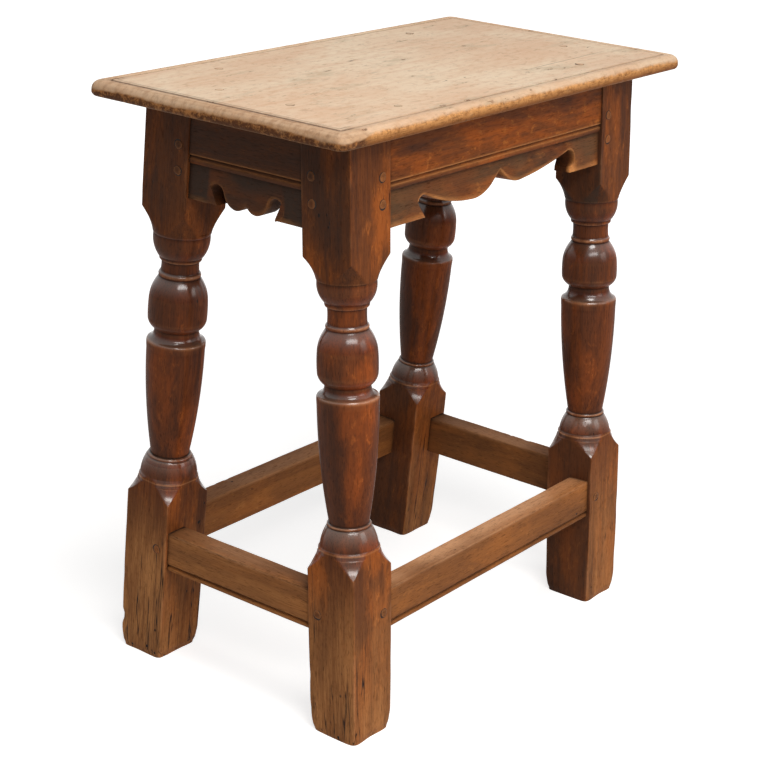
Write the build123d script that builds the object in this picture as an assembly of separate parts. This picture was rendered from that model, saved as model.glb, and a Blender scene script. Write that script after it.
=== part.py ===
"""Oak joint stool: a pegged plank seat on four turned, raked legs.

Millimetres, +Z up. The origin is on the floor, under the middle of the seat.
+X runs along the length of the stool and -Y is its front. The legs stand
upright when seen from the front and splay front to back. Heights are measured
from the floor, and drops are measured down from the top of the frame.
"""
from build123d import *

import os
from math import atan2, cos, degrees, hypot, sin, sqrt, tan

# ---------------------------------------------------------------- overall sizes
STOOL_HEIGHT = 560.0
SEAT_THICKNESS = 14.0
SEAT_END_OVERHANG = 44.0    # seat beyond the outer faces of the legs, at each end
SEAT_SIDE_OVERHANG = 28.0   # the same along each side, at the top of the frame
FRAME_LENGTH = 440.0        # over the outer faces of the legs, the same at any height
FRAME_WIDTH_TOP = 226.0     # over the outer faces of the legs, at the top of the frame
FRAME_WIDTH_FLOOR = 292.0   # over the outer faces of the legs, at the floor

# ---------------------------------------------------------------- seat edge
SEAT_CORNER_RADIUS = 9.0
MARGIN_WIDTH = 13.0         # thumb moulding between the edge and the quirk
MARGIN_FALL = 3.4           # how far the moulding drops at the edge
MARGIN_INNER_FALL = 0.4     # how far it already lies below the top at the quirk
QUIRK_WIDTH = 1.8
QUIRK_DEPTH = 1.3

# ---------------------------------------------------------------- legs
LEG_WIDTH = 54.0            # along X
LEG_DEPTH = 52.0            # front to back
FOOT_BLOCK_TOP = 158.5      # height where the lower arrises end
HEAD_BLOCK_FOOT = 441.0     # height where the upper arrises begin

# Turned elements, from the foot block upwards: how tall each one is.
FOOT_SHOULDER_RISE = 15.2
FOOT_BAND_RISE = 4.2
FOOT_BEAD_RISE = 2.1
BELL_RISE = 18.0
LOW_BEAD_RISE = 3.2
BALUSTER_CAP_RISE = 3.0
COVE_RISE = 5.4
GROOVE_RISE = 3.6
BULB_UNDERSIDE_RISE = 10.6
BULB_WALL_RISE = 17.4
BULB_CROWN_RISE = 21.2
HIGH_BEAD_RISE = 4.6
NECK_RISE = 15.1
CUP_FILLET_RISE = 4.6
CUP_RISE = 18.9
CUP_RIM_RISE = 1.5
HEAD_SHOULDER_RISE = 19.1

# The same elements: how far each one stands from the turning axis.
FOOT_SHOULDER_RADIUS = 28.6
FOOT_BAND_RADIUS = 27.4
BELL_FOOT_RADIUS = 26.2
BELL_HEAD_RADIUS = 20.1
LOW_BEAD_RADIUS = 19.7
BALUSTER_FOOT_RADIUS = 17.8
BALUSTER_HEAD_RADIUS = 27.0
BALUSTER_CAP_RADIUS = 25.4
GROOVE_RADIUS = 20.4
BULB_RADIUS = 26.5
BULB_CROWN_RADIUS = 18.5
HIGH_BEAD_RADIUS = 18.8
NECK_RADIUS = 17.0
CUP_FILLET_RADIUS = 19.0
CUP_FOOT_RADIUS = 20.2
CUP_HEAD_RADIUS = 25.5
CUP_RIM_RADIUS = 26.4

# How far the curved elements leave a straight line: + swells, - is hollow.
SHOULDER_HOLLOW = -1.4
BELL_SWELL = 1.0
BALUSTER_SWELL = 2.2
BULB_UNDERSIDE_SWELL = 1.7
BULB_CROWN_SWELL = 1.7
CUP_SWELL = 2.0
TURNING_ALLOWANCE = 0.3     # the billet's corners stay this far clear of the turned outline

# ---------------------------------------------------------------- seat rails
RAIL_THICKNESS = 22.0
RAIL_SETBACK = 1.5          # rail face behind the leg face
RAIL_EAR_DROP = 85.0        # full height of a rail where it meets the leg
FASCIA_DROP = 45.0          # top of the run moulding
MOULDING_BAND = 8.0
MOULDING_STEP = 2.2         # the field below the moulding lies back by this
BEAD_EDGE_DEPTH = 1.36      # edges of the bead, behind the fascia
BEAD_CREST_DEPTH = 0.33     # crest of the bead, behind the fascia
UPPER_QUIRK_BEVEL = 0.8     # run of the bevel from the fascia into the upper quirk
UPPER_QUIRK_WIDTH = 0.96
LOWER_QUIRK_BEVEL = 0.32
# Between the cusp in the middle of a sawn edge and its lobe: where the straight flank ends
# and where its rounding is half done, as shares of the way along and down.
CUSP_FLANK = (0.3, 0.6)
LOBE_ROUNDING = (0.58, 0.91)

# ---------------------------------------------------------------- stretchers
STRETCHER_THICKNESS = 22.0
STRETCHER_HEIGHT = 40.0
STRETCHER_SETBACK = 3.0
STRETCHER_FOOT = 96.0       # height of the lower edge
STRETCHER_ARRIS_RADIUS = 3.0
STRETCHER_BEAD = 5.4        # height of the bead along the lower outer edge
STRETCHER_BEAD_CREST = 2.2  # height of its crest
STRETCHER_BEAD_FOOT = 2.4   # its foot, behind the face
STRETCHER_BEAD_DEPTH = 0.4  # its crest, behind the face
STRETCHER_QUIRK = 1.2

# ---------------------------------------------------------------- joints and pegs
TENON_THICKNESS = 9.5
TENON_INSET = 11.0          # outer cheek of a tenon behind the leg face
TENON_LENGTH = 28.0
RAIL_TENON_TOP_SHOULDER = 9.0
RAIL_TENON_FOOT_SHOULDER = 7.0
STRETCHER_TENON_SHOULDER = 6.0
MORTICE_CLEARANCE = 0.2
MORTICE_END_GAP = 1.5
PEG_DIAMETER = 9.0          # over the corners of the eight-sided peg
PEG_TIP_DIAMETER = 7.4
PEG_HOLE_CLEARANCE = 0.15
PEG_LENGTH = 35.0
PEG_PROUD = 0.9
PEG_HEAD_BEVEL = 0.7
PEG_FROM_SHOULDER = 11.0
RAIL_PEG_DROPS = (38.0, 61.0)
SEAT_PEG_LENGTH = 46.0
SEAT_PEG_PROUD = 0.3
SEAT_PEG_SPREAD_LONG = 282.0    # between the two pegs of a long rail
SEAT_PEG_SPREAD_SHORT = 78.0    # between the two pegs of an end rail

# ---------------------------------------------------------------- worked out
FRAME_TOP = STOOL_HEIGHT - SEAT_THICKNESS
SEAT_LENGTH = FRAME_LENGTH + 2 * SEAT_END_OVERHANG
SEAT_WIDTH = FRAME_WIDTH_TOP + 2 * SEAT_SIDE_OVERHANG
RAKE = atan2((FRAME_WIDTH_FLOOR - FRAME_WIDTH_TOP) / 2, FRAME_TOP)
RAKE_DEGREES = degrees(RAKE)
HALF_LENGTH = FRAME_LENGTH / 2
LONG_CLEAR = HALF_LENGTH - LEG_WIDTH        # half the clear run of a long rail
LEG_SLANT_DEPTH = LEG_DEPTH / cos(RAKE)     # leg depth measured level
CORNER_REACH = hypot(LEG_WIDTH, LEG_DEPTH) / 2
BEYOND = 60.0               # overshoot of cutting solids
ALL_ROUND = 4 * STOOL_HEIGHT                # side of a box that takes in the whole stool
FILLET_MIDDLE = 1 - sqrt(0.5)               # middle of a fillet, from both faces, to its radius

# Face of the front legs and rails: X along the stool, Y up the slope, Z outwards.
FRONT_FACE = Plane(
    origin=(0, -FRAME_WIDTH_FLOOR / 2, 0),
    x_dir=(1, 0, 0),
    z_dir=(0, -cos(RAKE), sin(RAKE)),
)
# Face of the left-hand end: X runs from back to front, Y up, Z outwards.
LEFT_FACE = Plane(origin=(-HALF_LENGTH, 0, 0), x_dir=(0, -1, 0), z_dir=(-1, 0, 0))
# Turns a section, drawn as depth and height, to stand across such a face.
ACROSS = Plane(origin=(0, 0, 0), x_dir=(0, 0, -1), z_dir=(1, 0, 0)).location


def leg_face(height):
    """Distance from the middle of the stool to the front of a leg."""
    return FRAME_WIDTH_FLOOR / 2 - height * tan(RAKE)


def leg_inside(height):
    """Distance from the middle of the stool to the inner face of a leg."""
    return leg_face(height) - LEG_SLANT_DEPTH


def up_slope(height):
    """Distance from the floor up the slope of the front face."""
    return height / cos(RAKE)


def below_frame_top(solid):
    """The part of a solid that lies under the level top of the frame."""
    keep = Pos(0, 0, FRAME_TOP - ALL_ROUND / 2) * Box(ALL_ROUND, ALL_ROUND, ALL_ROUND)
    return solid & keep


def between(solid, low, high):
    """The part of a solid between two levels."""
    return solid & (Pos(0, 0, (low + high) / 2) * Box(ALL_ROUND, ALL_ROUND, high - low))


# ---------------------------------------------------------------- seat
def margin_waste(run, reach):
    """Waste above the thumb moulding of one edge, for the edge that faces -Y."""
    arris = STOOL_HEIGHT - MARGIN_FALL
    inner = STOOL_HEIGHT - MARGIN_INNER_FALL
    above = STOOL_HEIGHT + MARGIN_FALL
    outside = MARGIN_WIDTH / 4
    below = arris - MARGIN_FALL / 2
    with BuildLine() as section:
        ThreePointArc((-outside, below), (0, arris), (MARGIN_WIDTH, inner))
        Polyline((MARGIN_WIDTH, inner), (MARGIN_WIDTH, above), (-outside, above), (-outside, below))
    start = Plane(origin=(-run / 2, -reach, 0), x_dir=(0, 1, 0), z_dir=(1, 0, 0))
    return extrude(start * make_face(section.edges()), run, dir=(1, 0, 0))


def quirk_ring():
    """The square-cut groove that runs all round inside the thumb moulding."""
    def plate(inset):
        length = SEAT_LENGTH - 2 * inset
        width = SEAT_WIDTH - 2 * inset
        return Pos(0, 0, STOOL_HEIGHT) * Box(length, width, 2 * QUIRK_DEPTH)

    return plate(MARGIN_WIDTH) - plate(MARGIN_WIDTH + QUIRK_WIDTH)


def seat_peg_places():
    """Where the pegs pass through the seat, grouped by the rail that they enter."""
    rail_middle = RAIL_SETBACK + RAIL_THICKNESS / 2
    long_y = leg_face(FRAME_TOP) - rail_middle
    short_x = HALF_LENGTH - rail_middle
    long_x = SEAT_PEG_SPREAD_LONG / 2
    short_y = SEAT_PEG_SPREAD_SHORT / 2
    return {
        "front": [(-long_x, -long_y), (long_x, -long_y)],
        "back": [(-long_x, long_y), (long_x, long_y)],
        "left": [(-short_x, -short_y), (-short_x, short_y)],
        "right": [(short_x, -short_y), (short_x, short_y)],
    }


def eight_sided(corner_radius, low, high):
    """An eight-sided prism between two levels."""
    return extrude(Pos(0, 0, low) * RegularPolygon(corner_radius, 8), high - low)


def peg_hole(length):
    """Hole for a peg. The hard-driven peg has pressed its eight sides into it."""
    corner_radius = PEG_DIAMETER / 2 + PEG_HOLE_CLEARANCE
    return eight_sided(corner_radius, -length - PEG_HOLE_CLEARANCE, 2 * PEG_PROUD)


def peg(length, proud):
    """Riven eight-sided peg, driven along -Z, with a bevelled head and a drawn-in point."""
    body = eight_sided(PEG_DIAMETER / 2, -length, proud)
    body = chamfer(body.faces().sort_by(Axis.Z)[-1].edges(), min(PEG_HEAD_BEVEL, proud / 2))
    tip_bevel = (PEG_DIAMETER - PEG_TIP_DIAMETER) / 2
    return chamfer(body.faces().sort_by(Axis.Z)[0].edges(), tip_bevel)


def seat_board():
    outline = RectangleRounded(SEAT_LENGTH, SEAT_WIDTH, SEAT_CORNER_RADIUS)
    board = extrude(Pos(0, 0, FRAME_TOP) * outline, SEAT_THICKNESS)
    long_edge = margin_waste(SEAT_LENGTH + BEYOND, SEAT_WIDTH / 2)
    short_edge = margin_waste(SEAT_WIDTH + BEYOND, SEAT_LENGTH / 2)
    for turn in (0, 180):
        board -= Rot(0, 0, turn) * long_edge
        board -= Rot(0, 0, turn + 90) * short_edge
    board -= quirk_ring()
    for places in seat_peg_places().values():
        for x, y in places:
            board -= Pos(x, y, STOOL_HEIGHT) * peg_hole(SEAT_PEG_LENGTH)
    return board


# ---------------------------------------------------------------- legs
class Turning:
    """Outline of a turned piece, cut upwards: each corner is a radius and a height."""

    def __init__(self, radius, height):
        self.corners = [(radius, height)]

    def cut(self, rise, radius, swell=0.0, bands=1):
        """Carry the outline up by a rise to a radius.

        A swell bows it outwards by a parabola, as straight bands.
        """
        start_radius, start = self.corners[-1]
        chord = hypot(rise, radius - start_radius)
        for band in range(1, bands + 1):
            share = band / bands
            bow = 4 * swell * share * (1 - share)
            self.corners.append((
                start_radius + (radius - start_radius) * share + bow * rise / chord,
                start + rise * share - bow * (radius - start_radius) / chord,
            ))


def turned_outline():
    """Half section of a leg as turned, before its blocks are squared."""
    corner = CORNER_REACH + TURNING_ALLOWANCE
    turning = Turning(0, -BEYOND)
    turning.cut(0, corner)
    turning.cut(BEYOND + FOOT_BLOCK_TOP, corner)

    turning.cut(FOOT_SHOULDER_RISE, FOOT_SHOULDER_RADIUS, SHOULDER_HOLLOW, bands=2)
    turning.cut(0, FOOT_BAND_RADIUS)
    turning.cut(FOOT_BAND_RISE, FOOT_BAND_RADIUS)
    turning.cut(FOOT_BEAD_RISE, BELL_FOOT_RADIUS)
    turning.cut(BELL_RISE, BELL_HEAD_RADIUS, BELL_SWELL, bands=2)
    turning.cut(LOW_BEAD_RISE / 2, LOW_BEAD_RADIUS)
    turning.cut(LOW_BEAD_RISE / 2, BALUSTER_FOOT_RADIUS)

    # the long baluster takes up the height that the other elements leave
    below = turning.corners[-1][1]
    above = (
        BALUSTER_CAP_RISE + COVE_RISE + GROOVE_RISE
        + BULB_UNDERSIDE_RISE + BULB_WALL_RISE + BULB_CROWN_RISE
        + HIGH_BEAD_RISE + NECK_RISE
        + CUP_FILLET_RISE + CUP_RISE + CUP_RIM_RISE + HEAD_SHOULDER_RISE
    )
    baluster_rise = HEAD_BLOCK_FOOT - above - below
    turning.cut(baluster_rise, BALUSTER_HEAD_RADIUS, BALUSTER_SWELL, bands=3)
    turning.cut(BALUSTER_CAP_RISE, BALUSTER_CAP_RADIUS)
    turning.cut(COVE_RISE, GROOVE_RADIUS)
    turning.cut(GROOVE_RISE, GROOVE_RADIUS)

    turning.cut(BULB_UNDERSIDE_RISE, BULB_RADIUS, BULB_UNDERSIDE_SWELL, bands=2)
    turning.cut(BULB_WALL_RISE, BULB_RADIUS)
    turning.cut(BULB_CROWN_RISE, BULB_CROWN_RADIUS, BULB_CROWN_SWELL, bands=2)
    turning.cut(HIGH_BEAD_RISE / 2, HIGH_BEAD_RADIUS)
    turning.cut(HIGH_BEAD_RISE / 2, NECK_RADIUS)
    turning.cut(NECK_RISE, NECK_RADIUS)

    turning.cut(0, CUP_FILLET_RADIUS)
    turning.cut(CUP_FILLET_RISE, CUP_FOOT_RADIUS)
    turning.cut(CUP_RISE, CUP_HEAD_RADIUS, CUP_SWELL, bands=2)
    turning.cut(CUP_RIM_RISE, CUP_RIM_RADIUS)
    turning.cut(HEAD_SHOULDER_RISE, corner, SHOULDER_HOLLOW, bands=2)
    turning.cut(FRAME_TOP + BEYOND - HEAD_BLOCK_FOOT, corner)
    turning.cut(0, 0)
    return make_face(Polyline(*turning.corners, close=True).edges())


def block(low, high):
    """A square length of the leg's billet."""
    return Pos(0, 0, (low + high) / 2) * Box(LEG_WIDTH, LEG_DEPTH, high - low)


def turned_leg():
    """Front left leg without its joints: square blocks and the turning between."""
    turning = revolve(Plane.XZ * turned_outline(), Axis.Z)
    round_foot = FOOT_BLOCK_TOP + FOOT_SHOULDER_RISE + FOOT_BAND_RISE + FOOT_BEAD_RISE
    round_head = HEAD_BLOCK_FOOT - HEAD_SHOULDER_RISE
    around = Pos(0, 0, (round_foot + round_head) / 2) * Cylinder(
        CORNER_REACH, round_head - round_foot
    )
    billet = block(-BEYOND, round_foot) + around + block(round_head, FRAME_TOP + BEYOND)
    upright = turning & billet
    axis_at_floor = Pos(
        -HALF_LENGTH + LEG_WIDTH / 2, -FRAME_WIDTH_FLOOR / 2 + LEG_SLANT_DEPTH / 2, 0
    )
    leaning = axis_at_floor * Rot(-RAKE_DEGREES, 0, 0) * upright
    return between(leaning, 0, FRAME_TOP)


def jointed_leg():
    """Front left leg with its four mortices and its peg holes."""
    leg = turned_leg()
    for low, high in (RAIL_TENON, STRETCHER_TENON):
        leg -= long_tenon(low, high, MORTICE_CLEARANCE, MORTICE_END_GAP)
        leg -= end_tenon(low, high, MORTICE_CLEARANCE, MORTICE_END_GAP)
    for heights in (RAIL_PEG_HEIGHTS, STRETCHER_PEG_HEIGHTS):
        for place in long_peg_places(heights) + end_peg_places(heights):
            leg -= place * peg_hole(PEG_LENGTH)
    return leg


# ---------------------------------------------------------------- tenons
def long_tenon(low, high, slack=0.0, end_gap=0.0):
    """Left-hand tenon of a front rail or stretcher, between two heights.

    With slack and an end gap it is the mortice that takes the tenon.
    """
    thickness = TENON_THICKNESS + 2 * slack
    length = TENON_LENGTH + end_gap
    height = up_slope(high) - up_slope(low) + 2 * slack
    overshoot = BEYOND if slack else 0.0
    block = Pos(
        -LONG_CLEAR - (length - overshoot) / 2,
        (up_slope(high) + up_slope(low)) / 2,
        -TENON_INSET - TENON_THICKNESS / 2,
    ) * Box(length + overshoot, height, thickness)
    return FRONT_FACE * block


def end_tenon(low, high, slack=0.0, end_gap=0.0):
    """Front tenon of an end rail or stretcher, between two heights."""
    low -= slack
    high += slack
    length = (TENON_LENGTH + end_gap) / cos(RAKE)
    overshoot = BEYOND if slack else 0.0
    side = Polygon(
        (leg_inside(low) - overshoot, low),
        (leg_inside(low) + length, low),
        (leg_inside(high) + length, high),
        (leg_inside(high) - overshoot, high),
        align=None,
    )
    outer = -TENON_INSET + slack
    inner = -TENON_INSET - TENON_THICKNESS - slack
    return extrude(LEFT_FACE * Pos(0, 0, inner) * side, outer - inner, dir=(-1, 0, 0))


RAIL_TENON = (
    FRAME_TOP - RAIL_EAR_DROP + RAIL_TENON_FOOT_SHOULDER,
    FRAME_TOP - RAIL_TENON_TOP_SHOULDER,
)
STRETCHER_TENON = (
    STRETCHER_FOOT + STRETCHER_TENON_SHOULDER,
    STRETCHER_FOOT + STRETCHER_HEIGHT - STRETCHER_TENON_SHOULDER,
)
RAIL_PEG_HEIGHTS = [FRAME_TOP - drop for drop in RAIL_PEG_DROPS]
STRETCHER_PEG_HEIGHTS = [STRETCHER_FOOT + STRETCHER_HEIGHT / 2]


def long_peg_places(heights):
    """Locations of the pegs that pin a front rail or stretcher to the left leg."""
    x = -LONG_CLEAR - PEG_FROM_SHOULDER
    return [FRONT_FACE * Pos(x, up_slope(height), 0) for height in heights]


def end_peg_places(heights):
    """Locations of the pegs that pin a left end rail or stretcher to the front leg."""
    inward = PEG_FROM_SHOULDER / cos(RAKE)
    return [LEFT_FACE * Pos(leg_inside(height) + inward, height, 0) for height in heights]


# ---------------------------------------------------------------- rails
def rail_section():
    """Section of a seat rail: X is depth behind the leg face, Y is minus the drop."""
    face = RAIL_SETBACK
    field = face + MOULDING_STEP
    back = face + RAIL_THICKNESS
    bead_edge = face + BEAD_EDGE_DEPTH
    band_top = FASCIA_DROP
    quirk_top = band_top + UPPER_QUIRK_BEVEL
    bead_top = quirk_top + UPPER_QUIRK_WIDTH
    band_foot = FASCIA_DROP + MOULDING_BAND
    bead_foot = band_foot - LOWER_QUIRK_BEVEL
    crest = (face + BEAD_CREST_DEPTH, -(bead_top + bead_foot) / 2)
    with BuildSketch() as section:
        with BuildLine():
            Polyline((face, BEYOND), (face, -band_top), (bead_edge, -quirk_top), (bead_edge, -bead_top))
            ThreePointArc((bead_edge, -bead_top), crest, (bead_edge, -bead_foot))
            Polyline(
                (bead_edge, -bead_foot),
                (field, -band_foot),
                (field, -RAIL_EAR_DROP - BEYOND),
                (back, -RAIL_EAR_DROP - BEYOND),
                (back, BEYOND),
                (face, BEYOND),
            )
        make_face()
    return section.sketch


def scroll_edge(side, cusp_drop, lobe, flank, notch_start, notch_side, notch_end, tip, clear):
    """Saw-cut lower edge of a rail from its middle out to one leg.

    Each place is a distance from the middle and a drop. The edge falls from the
    central cusp to a rounded lobe, climbs its flank, turns through a C-shaped
    notch and runs out to the leg along the underside of the ear.
    """
    def at(place):
        return side * place[0], -place[1]

    def towards_lobe(shares):
        return lobe[0] * shares[0], cusp_drop + (lobe[1] - cusp_drop) * shares[1]

    flank_end = towards_lobe(CUSP_FLANK)
    rounding = towards_lobe(LOBE_ROUNDING)
    return [
        Line(at((0, cusp_drop)), at(flank_end)),
        ThreePointArc(at(flank_end), at(rounding), at(lobe)),
        ThreePointArc(at(lobe), at(flank), at(notch_start)),
        ThreePointArc(at(notch_start), at(notch_side), at(notch_end)),
        Line(at(notch_end), at(tip)),
        Line(at(tip), at((clear, RAIL_EAR_DROP))),
    ]


LONG_CUSP_DROP = 62.0
# The hand-sawn front edge hangs lower on the left lobe than on the right one.
LOW_LOBE = dict(
    lobe=(45.0, 81.2), flank=(76.0, 77.0), notch_start=(112.0, 65.0),
    notch_side=(122.7, 72.8), notch_end=(115.0, 81.4), tip=(112.3, RAIL_EAR_DROP),
)
HIGH_LOBE = dict(
    lobe=(35.0, 76.6), flank=(72.0, 71.6), notch_start=(109.0, 63.2),
    notch_side=(123.2, 70.6), notch_end=(119.0, 80.0), tip=(118.5, RAIL_EAR_DROP),
)
SHORT_CUSP_DROP = 79.0
SHORT_LOBE = dict(
    lobe=(12.6, 85.2), flank=(20.4, 81.2), notch_start=(25.2, 72.8),
    notch_side=(39.6, 68.6), notch_end=(38.6, 81.6), tip=(32.4, RAIL_EAR_DROP),
)


def scroll_face(cusp_drop, left, right, clear_foot, clear_top):
    """Elevation of a rail: level top, raked or square ends, saw-cut lower edge.

    The clear widths are half the run between the legs at the ears' underside and
    at a level above the frame.
    """
    edges = scroll_edge(-1, cusp_drop, clear=clear_foot, **left)
    edges += scroll_edge(1, cusp_drop, clear=clear_foot, **right)
    ends = Polyline(
        (-clear_foot, -RAIL_EAR_DROP),
        (-clear_top, BEYOND),
        (clear_top, BEYOND),
        (clear_foot, -RAIL_EAR_DROP),
    )
    return make_face(Curve() + edges + ends)


def long_rail(left, right):
    """Front rail, in the sloping plane of the front legs."""
    top = up_slope(FRAME_TOP)
    run = 2 * HALF_LENGTH
    across = FRONT_FACE.location * Pos(-run / 2, top, 0) * ACROSS
    moulded = extrude(across * rail_section(), run, dir=(1, 0, 0))
    elevation = scroll_face(LONG_CUSP_DROP, left, right, LONG_CLEAR, LONG_CLEAR)
    board = extrude(FRONT_FACE * Pos(0, top, 0) * elevation, BEYOND, both=True)
    rail = below_frame_top(moulded & board)
    tenon = long_tenon(*RAIL_TENON)
    rail = rail + tenon + mirror(tenon, about=Plane.YZ)
    for place in long_peg_places(RAIL_PEG_HEIGHTS):
        hole = place * peg_hole(PEG_LENGTH)
        rail -= hole
        rail -= mirror(hole, about=Plane.YZ)
    return rail


def end_rail():
    """Left end rail, upright, with its shoulders cut to the rake of the legs."""
    run = 2 * leg_face(0)
    across = LEFT_FACE.location * Pos(-run / 2, FRAME_TOP, 0) * ACROSS
    moulded = extrude(across * rail_section(), run, dir=(0, -1, 0))
    clear_foot = leg_inside(FRAME_TOP - RAIL_EAR_DROP)
    clear_top = leg_inside(FRAME_TOP + BEYOND)
    elevation = scroll_face(SHORT_CUSP_DROP, SHORT_LOBE, SHORT_LOBE, clear_foot, clear_top)
    board = extrude(LEFT_FACE * Pos(0, FRAME_TOP, 0) * elevation, BEYOND, both=True)
    rail = below_frame_top(moulded & board)
    tenon = end_tenon(*RAIL_TENON)
    rail = rail + tenon + mirror(tenon, about=Plane.XZ)
    for place in end_peg_places(RAIL_PEG_HEIGHTS):
        hole = place * peg_hole(PEG_LENGTH)
        rail -= hole
        rail -= mirror(hole, about=Plane.XZ)
    return rail


def bored_for_seat(rail, side):
    """A seat rail with the holes that its seat pegs are driven into."""
    for x, y in seat_peg_places()[side]:
        rail -= Pos(x, y, STOOL_HEIGHT) * peg_hole(SEAT_PEG_LENGTH)
    return rail


# ---------------------------------------------------------------- stretchers
def stretcher_section():
    """Section of a stretcher: X is depth behind the leg face, Y is height."""
    face = STRETCHER_SETBACK
    back = face + STRETCHER_THICKNESS
    foot = STRETCHER_FOOT
    top = STRETCHER_FOOT + STRETCHER_HEIGHT
    arris = STRETCHER_ARRIS_RADIUS
    arris_middle = arris * FILLET_MIDDLE
    quirk = face + STRETCHER_QUIRK
    bead_foot = face + STRETCHER_BEAD_FOOT
    bead_top = foot + STRETCHER_BEAD
    with BuildSketch() as section:
        with BuildLine():
            ThreePointArc(
                (face, top - arris),
                (face + arris_middle, top - arris_middle),
                (face + arris, top),
            )
            Polyline((face + arris, top), (back, top), (back, foot), (bead_foot, foot))
            ThreePointArc(
                (bead_foot, foot),
                (face + STRETCHER_BEAD_DEPTH, foot + STRETCHER_BEAD_CREST),
                (quirk, bead_top),
            )
            Polyline((quirk, bead_top), (face, bead_top + STRETCHER_QUIRK), (face, top - arris))
        make_face()
    return section.sketch


def long_stretcher():
    """Front stretcher, in the sloping plane of the front legs."""
    across = FRONT_FACE.location * Pos(-LONG_CLEAR, 0, 0) * ACROSS
    bar = extrude(across * stretcher_section(), 2 * LONG_CLEAR, dir=(1, 0, 0))
    tenon = long_tenon(*STRETCHER_TENON)
    bar = bar + tenon + mirror(tenon, about=Plane.YZ)
    for place in long_peg_places(STRETCHER_PEG_HEIGHTS):
        hole = place * peg_hole(PEG_LENGTH)
        bar -= hole
        bar -= mirror(hole, about=Plane.YZ)
    return bar


def end_stretcher():
    """Left end stretcher, upright, with raked shoulders."""
    run = 2 * leg_face(0)
    across = LEFT_FACE.location * Pos(-run / 2, 0, 0) * ACROSS
    bar = extrude(across * stretcher_section(), run, dir=(0, -1, 0))
    foot = STRETCHER_FOOT - BEYOND
    top = STRETCHER_FOOT + STRETCHER_HEIGHT + BEYOND
    between_legs = Polygon(
        (-leg_inside(foot), foot),
        (leg_inside(foot), foot),
        (leg_inside(top), top),
        (-leg_inside(top), top),
        align=None,
    )
    bar = bar & extrude(LEFT_FACE * between_legs, BEYOND, both=True)
    tenon = end_tenon(*STRETCHER_TENON)
    bar = bar + tenon + mirror(tenon, about=Plane.XZ)
    for place in end_peg_places(STRETCHER_PEG_HEIGHTS):
        hole = place * peg_hole(PEG_LENGTH)
        bar -= hole
        bar -= mirror(hole, about=Plane.XZ)
    return bar


# ---------------------------------------------------------------- the whole stool
def reflected(shape, x_side, y_side):
    """A front left piece moved to another corner by reflection."""
    if x_side > 0:
        shape = mirror(shape, about=Plane.YZ)
    if y_side > 0:
        shape = mirror(shape, about=Plane.XZ)
    return shape


def stool():
    """Every piece of the stool by name."""
    pieces = {"seat_board": seat_board()}
    corners = {
        "front_left": (-1, -1),
        "front_right": (1, -1),
        "back_left": (-1, 1),
        "back_right": (1, 1),
    }
    leg = jointed_leg()
    for corner, sides in corners.items():
        pieces[f"leg_{corner}"] = reflected(leg, *sides)

    pieces["rail_front"] = bored_for_seat(long_rail(LOW_LOBE, HIGH_LOBE), "front")
    back_rail = reflected(long_rail(HIGH_LOBE, LOW_LOBE), -1, 1)
    pieces["rail_back"] = bored_for_seat(back_rail, "back")
    side_rail = end_rail()
    pieces["rail_left"] = bored_for_seat(side_rail, "left")
    pieces["rail_right"] = bored_for_seat(reflected(side_rail, 1, -1), "right")

    low_rail = long_stretcher()
    pieces["stretcher_front"] = low_rail
    pieces["stretcher_back"] = reflected(low_rail, -1, 1)
    low_end = end_stretcher()
    pieces["stretcher_left"] = low_end
    pieces["stretcher_right"] = reflected(low_end, 1, -1)

    # joint pegs: a pair through each rail tenon and one through each stretcher tenon
    joint_peg = peg(PEG_LENGTH, PEG_PROUD)
    joints = {
        "rail_pegs_{}_face": long_peg_places(RAIL_PEG_HEIGHTS),
        "rail_pegs_{}_end": end_peg_places(RAIL_PEG_HEIGHTS),
        "stretcher_peg_{}_face": long_peg_places(STRETCHER_PEG_HEIGHTS),
        "stretcher_peg_{}_end": end_peg_places(STRETCHER_PEG_HEIGHTS),
    }
    for pattern, places in joints.items():
        for corner, sides in corners.items():
            driven = [reflected(place * joint_peg, *sides) for place in places]
            pieces[pattern.format(corner)] = Compound(children=driven)

    seat_peg = peg(SEAT_PEG_LENGTH, SEAT_PEG_PROUD)
    for side, places in seat_peg_places().items():
        driven = [Pos(x, y, STOOL_HEIGHT) * seat_peg for x, y in places]
        pieces[f"seat_pegs_{side}"] = Compound(children=driven)
    return pieces


os.makedirs("parts", exist_ok=True)
for name, piece in stool().items():
    export_step(piece, f"parts/{name}.step")
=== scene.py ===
"""The looks of an oak joint stool: worn pieces, old polish, a plain studio and the camera.

Shapes are worked out in millimetres and become metres in shape_piece. A shell is a stack of
rings, an array of (rings, points in a ring, 3), closed at both ends. With it go its marks, the
values at its points that the finishes read: grain (place in the wood), wear, grime, polish,
bare (scuffed pale above 0, low on the legs partly a painted light; darkened below 0, mostly
painted shade), dust_and_sheen (a dusting and a painted sheen), faded (gone olive), and on
the seat and the pegs also top (rubbed bare), margin (handled edge) and under (not the edge
tone).
"""
import math
from functools import cached_property, partialmethod
from types import SimpleNamespace

import bpy
import numpy as np
from mathutils import Matrix


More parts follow.
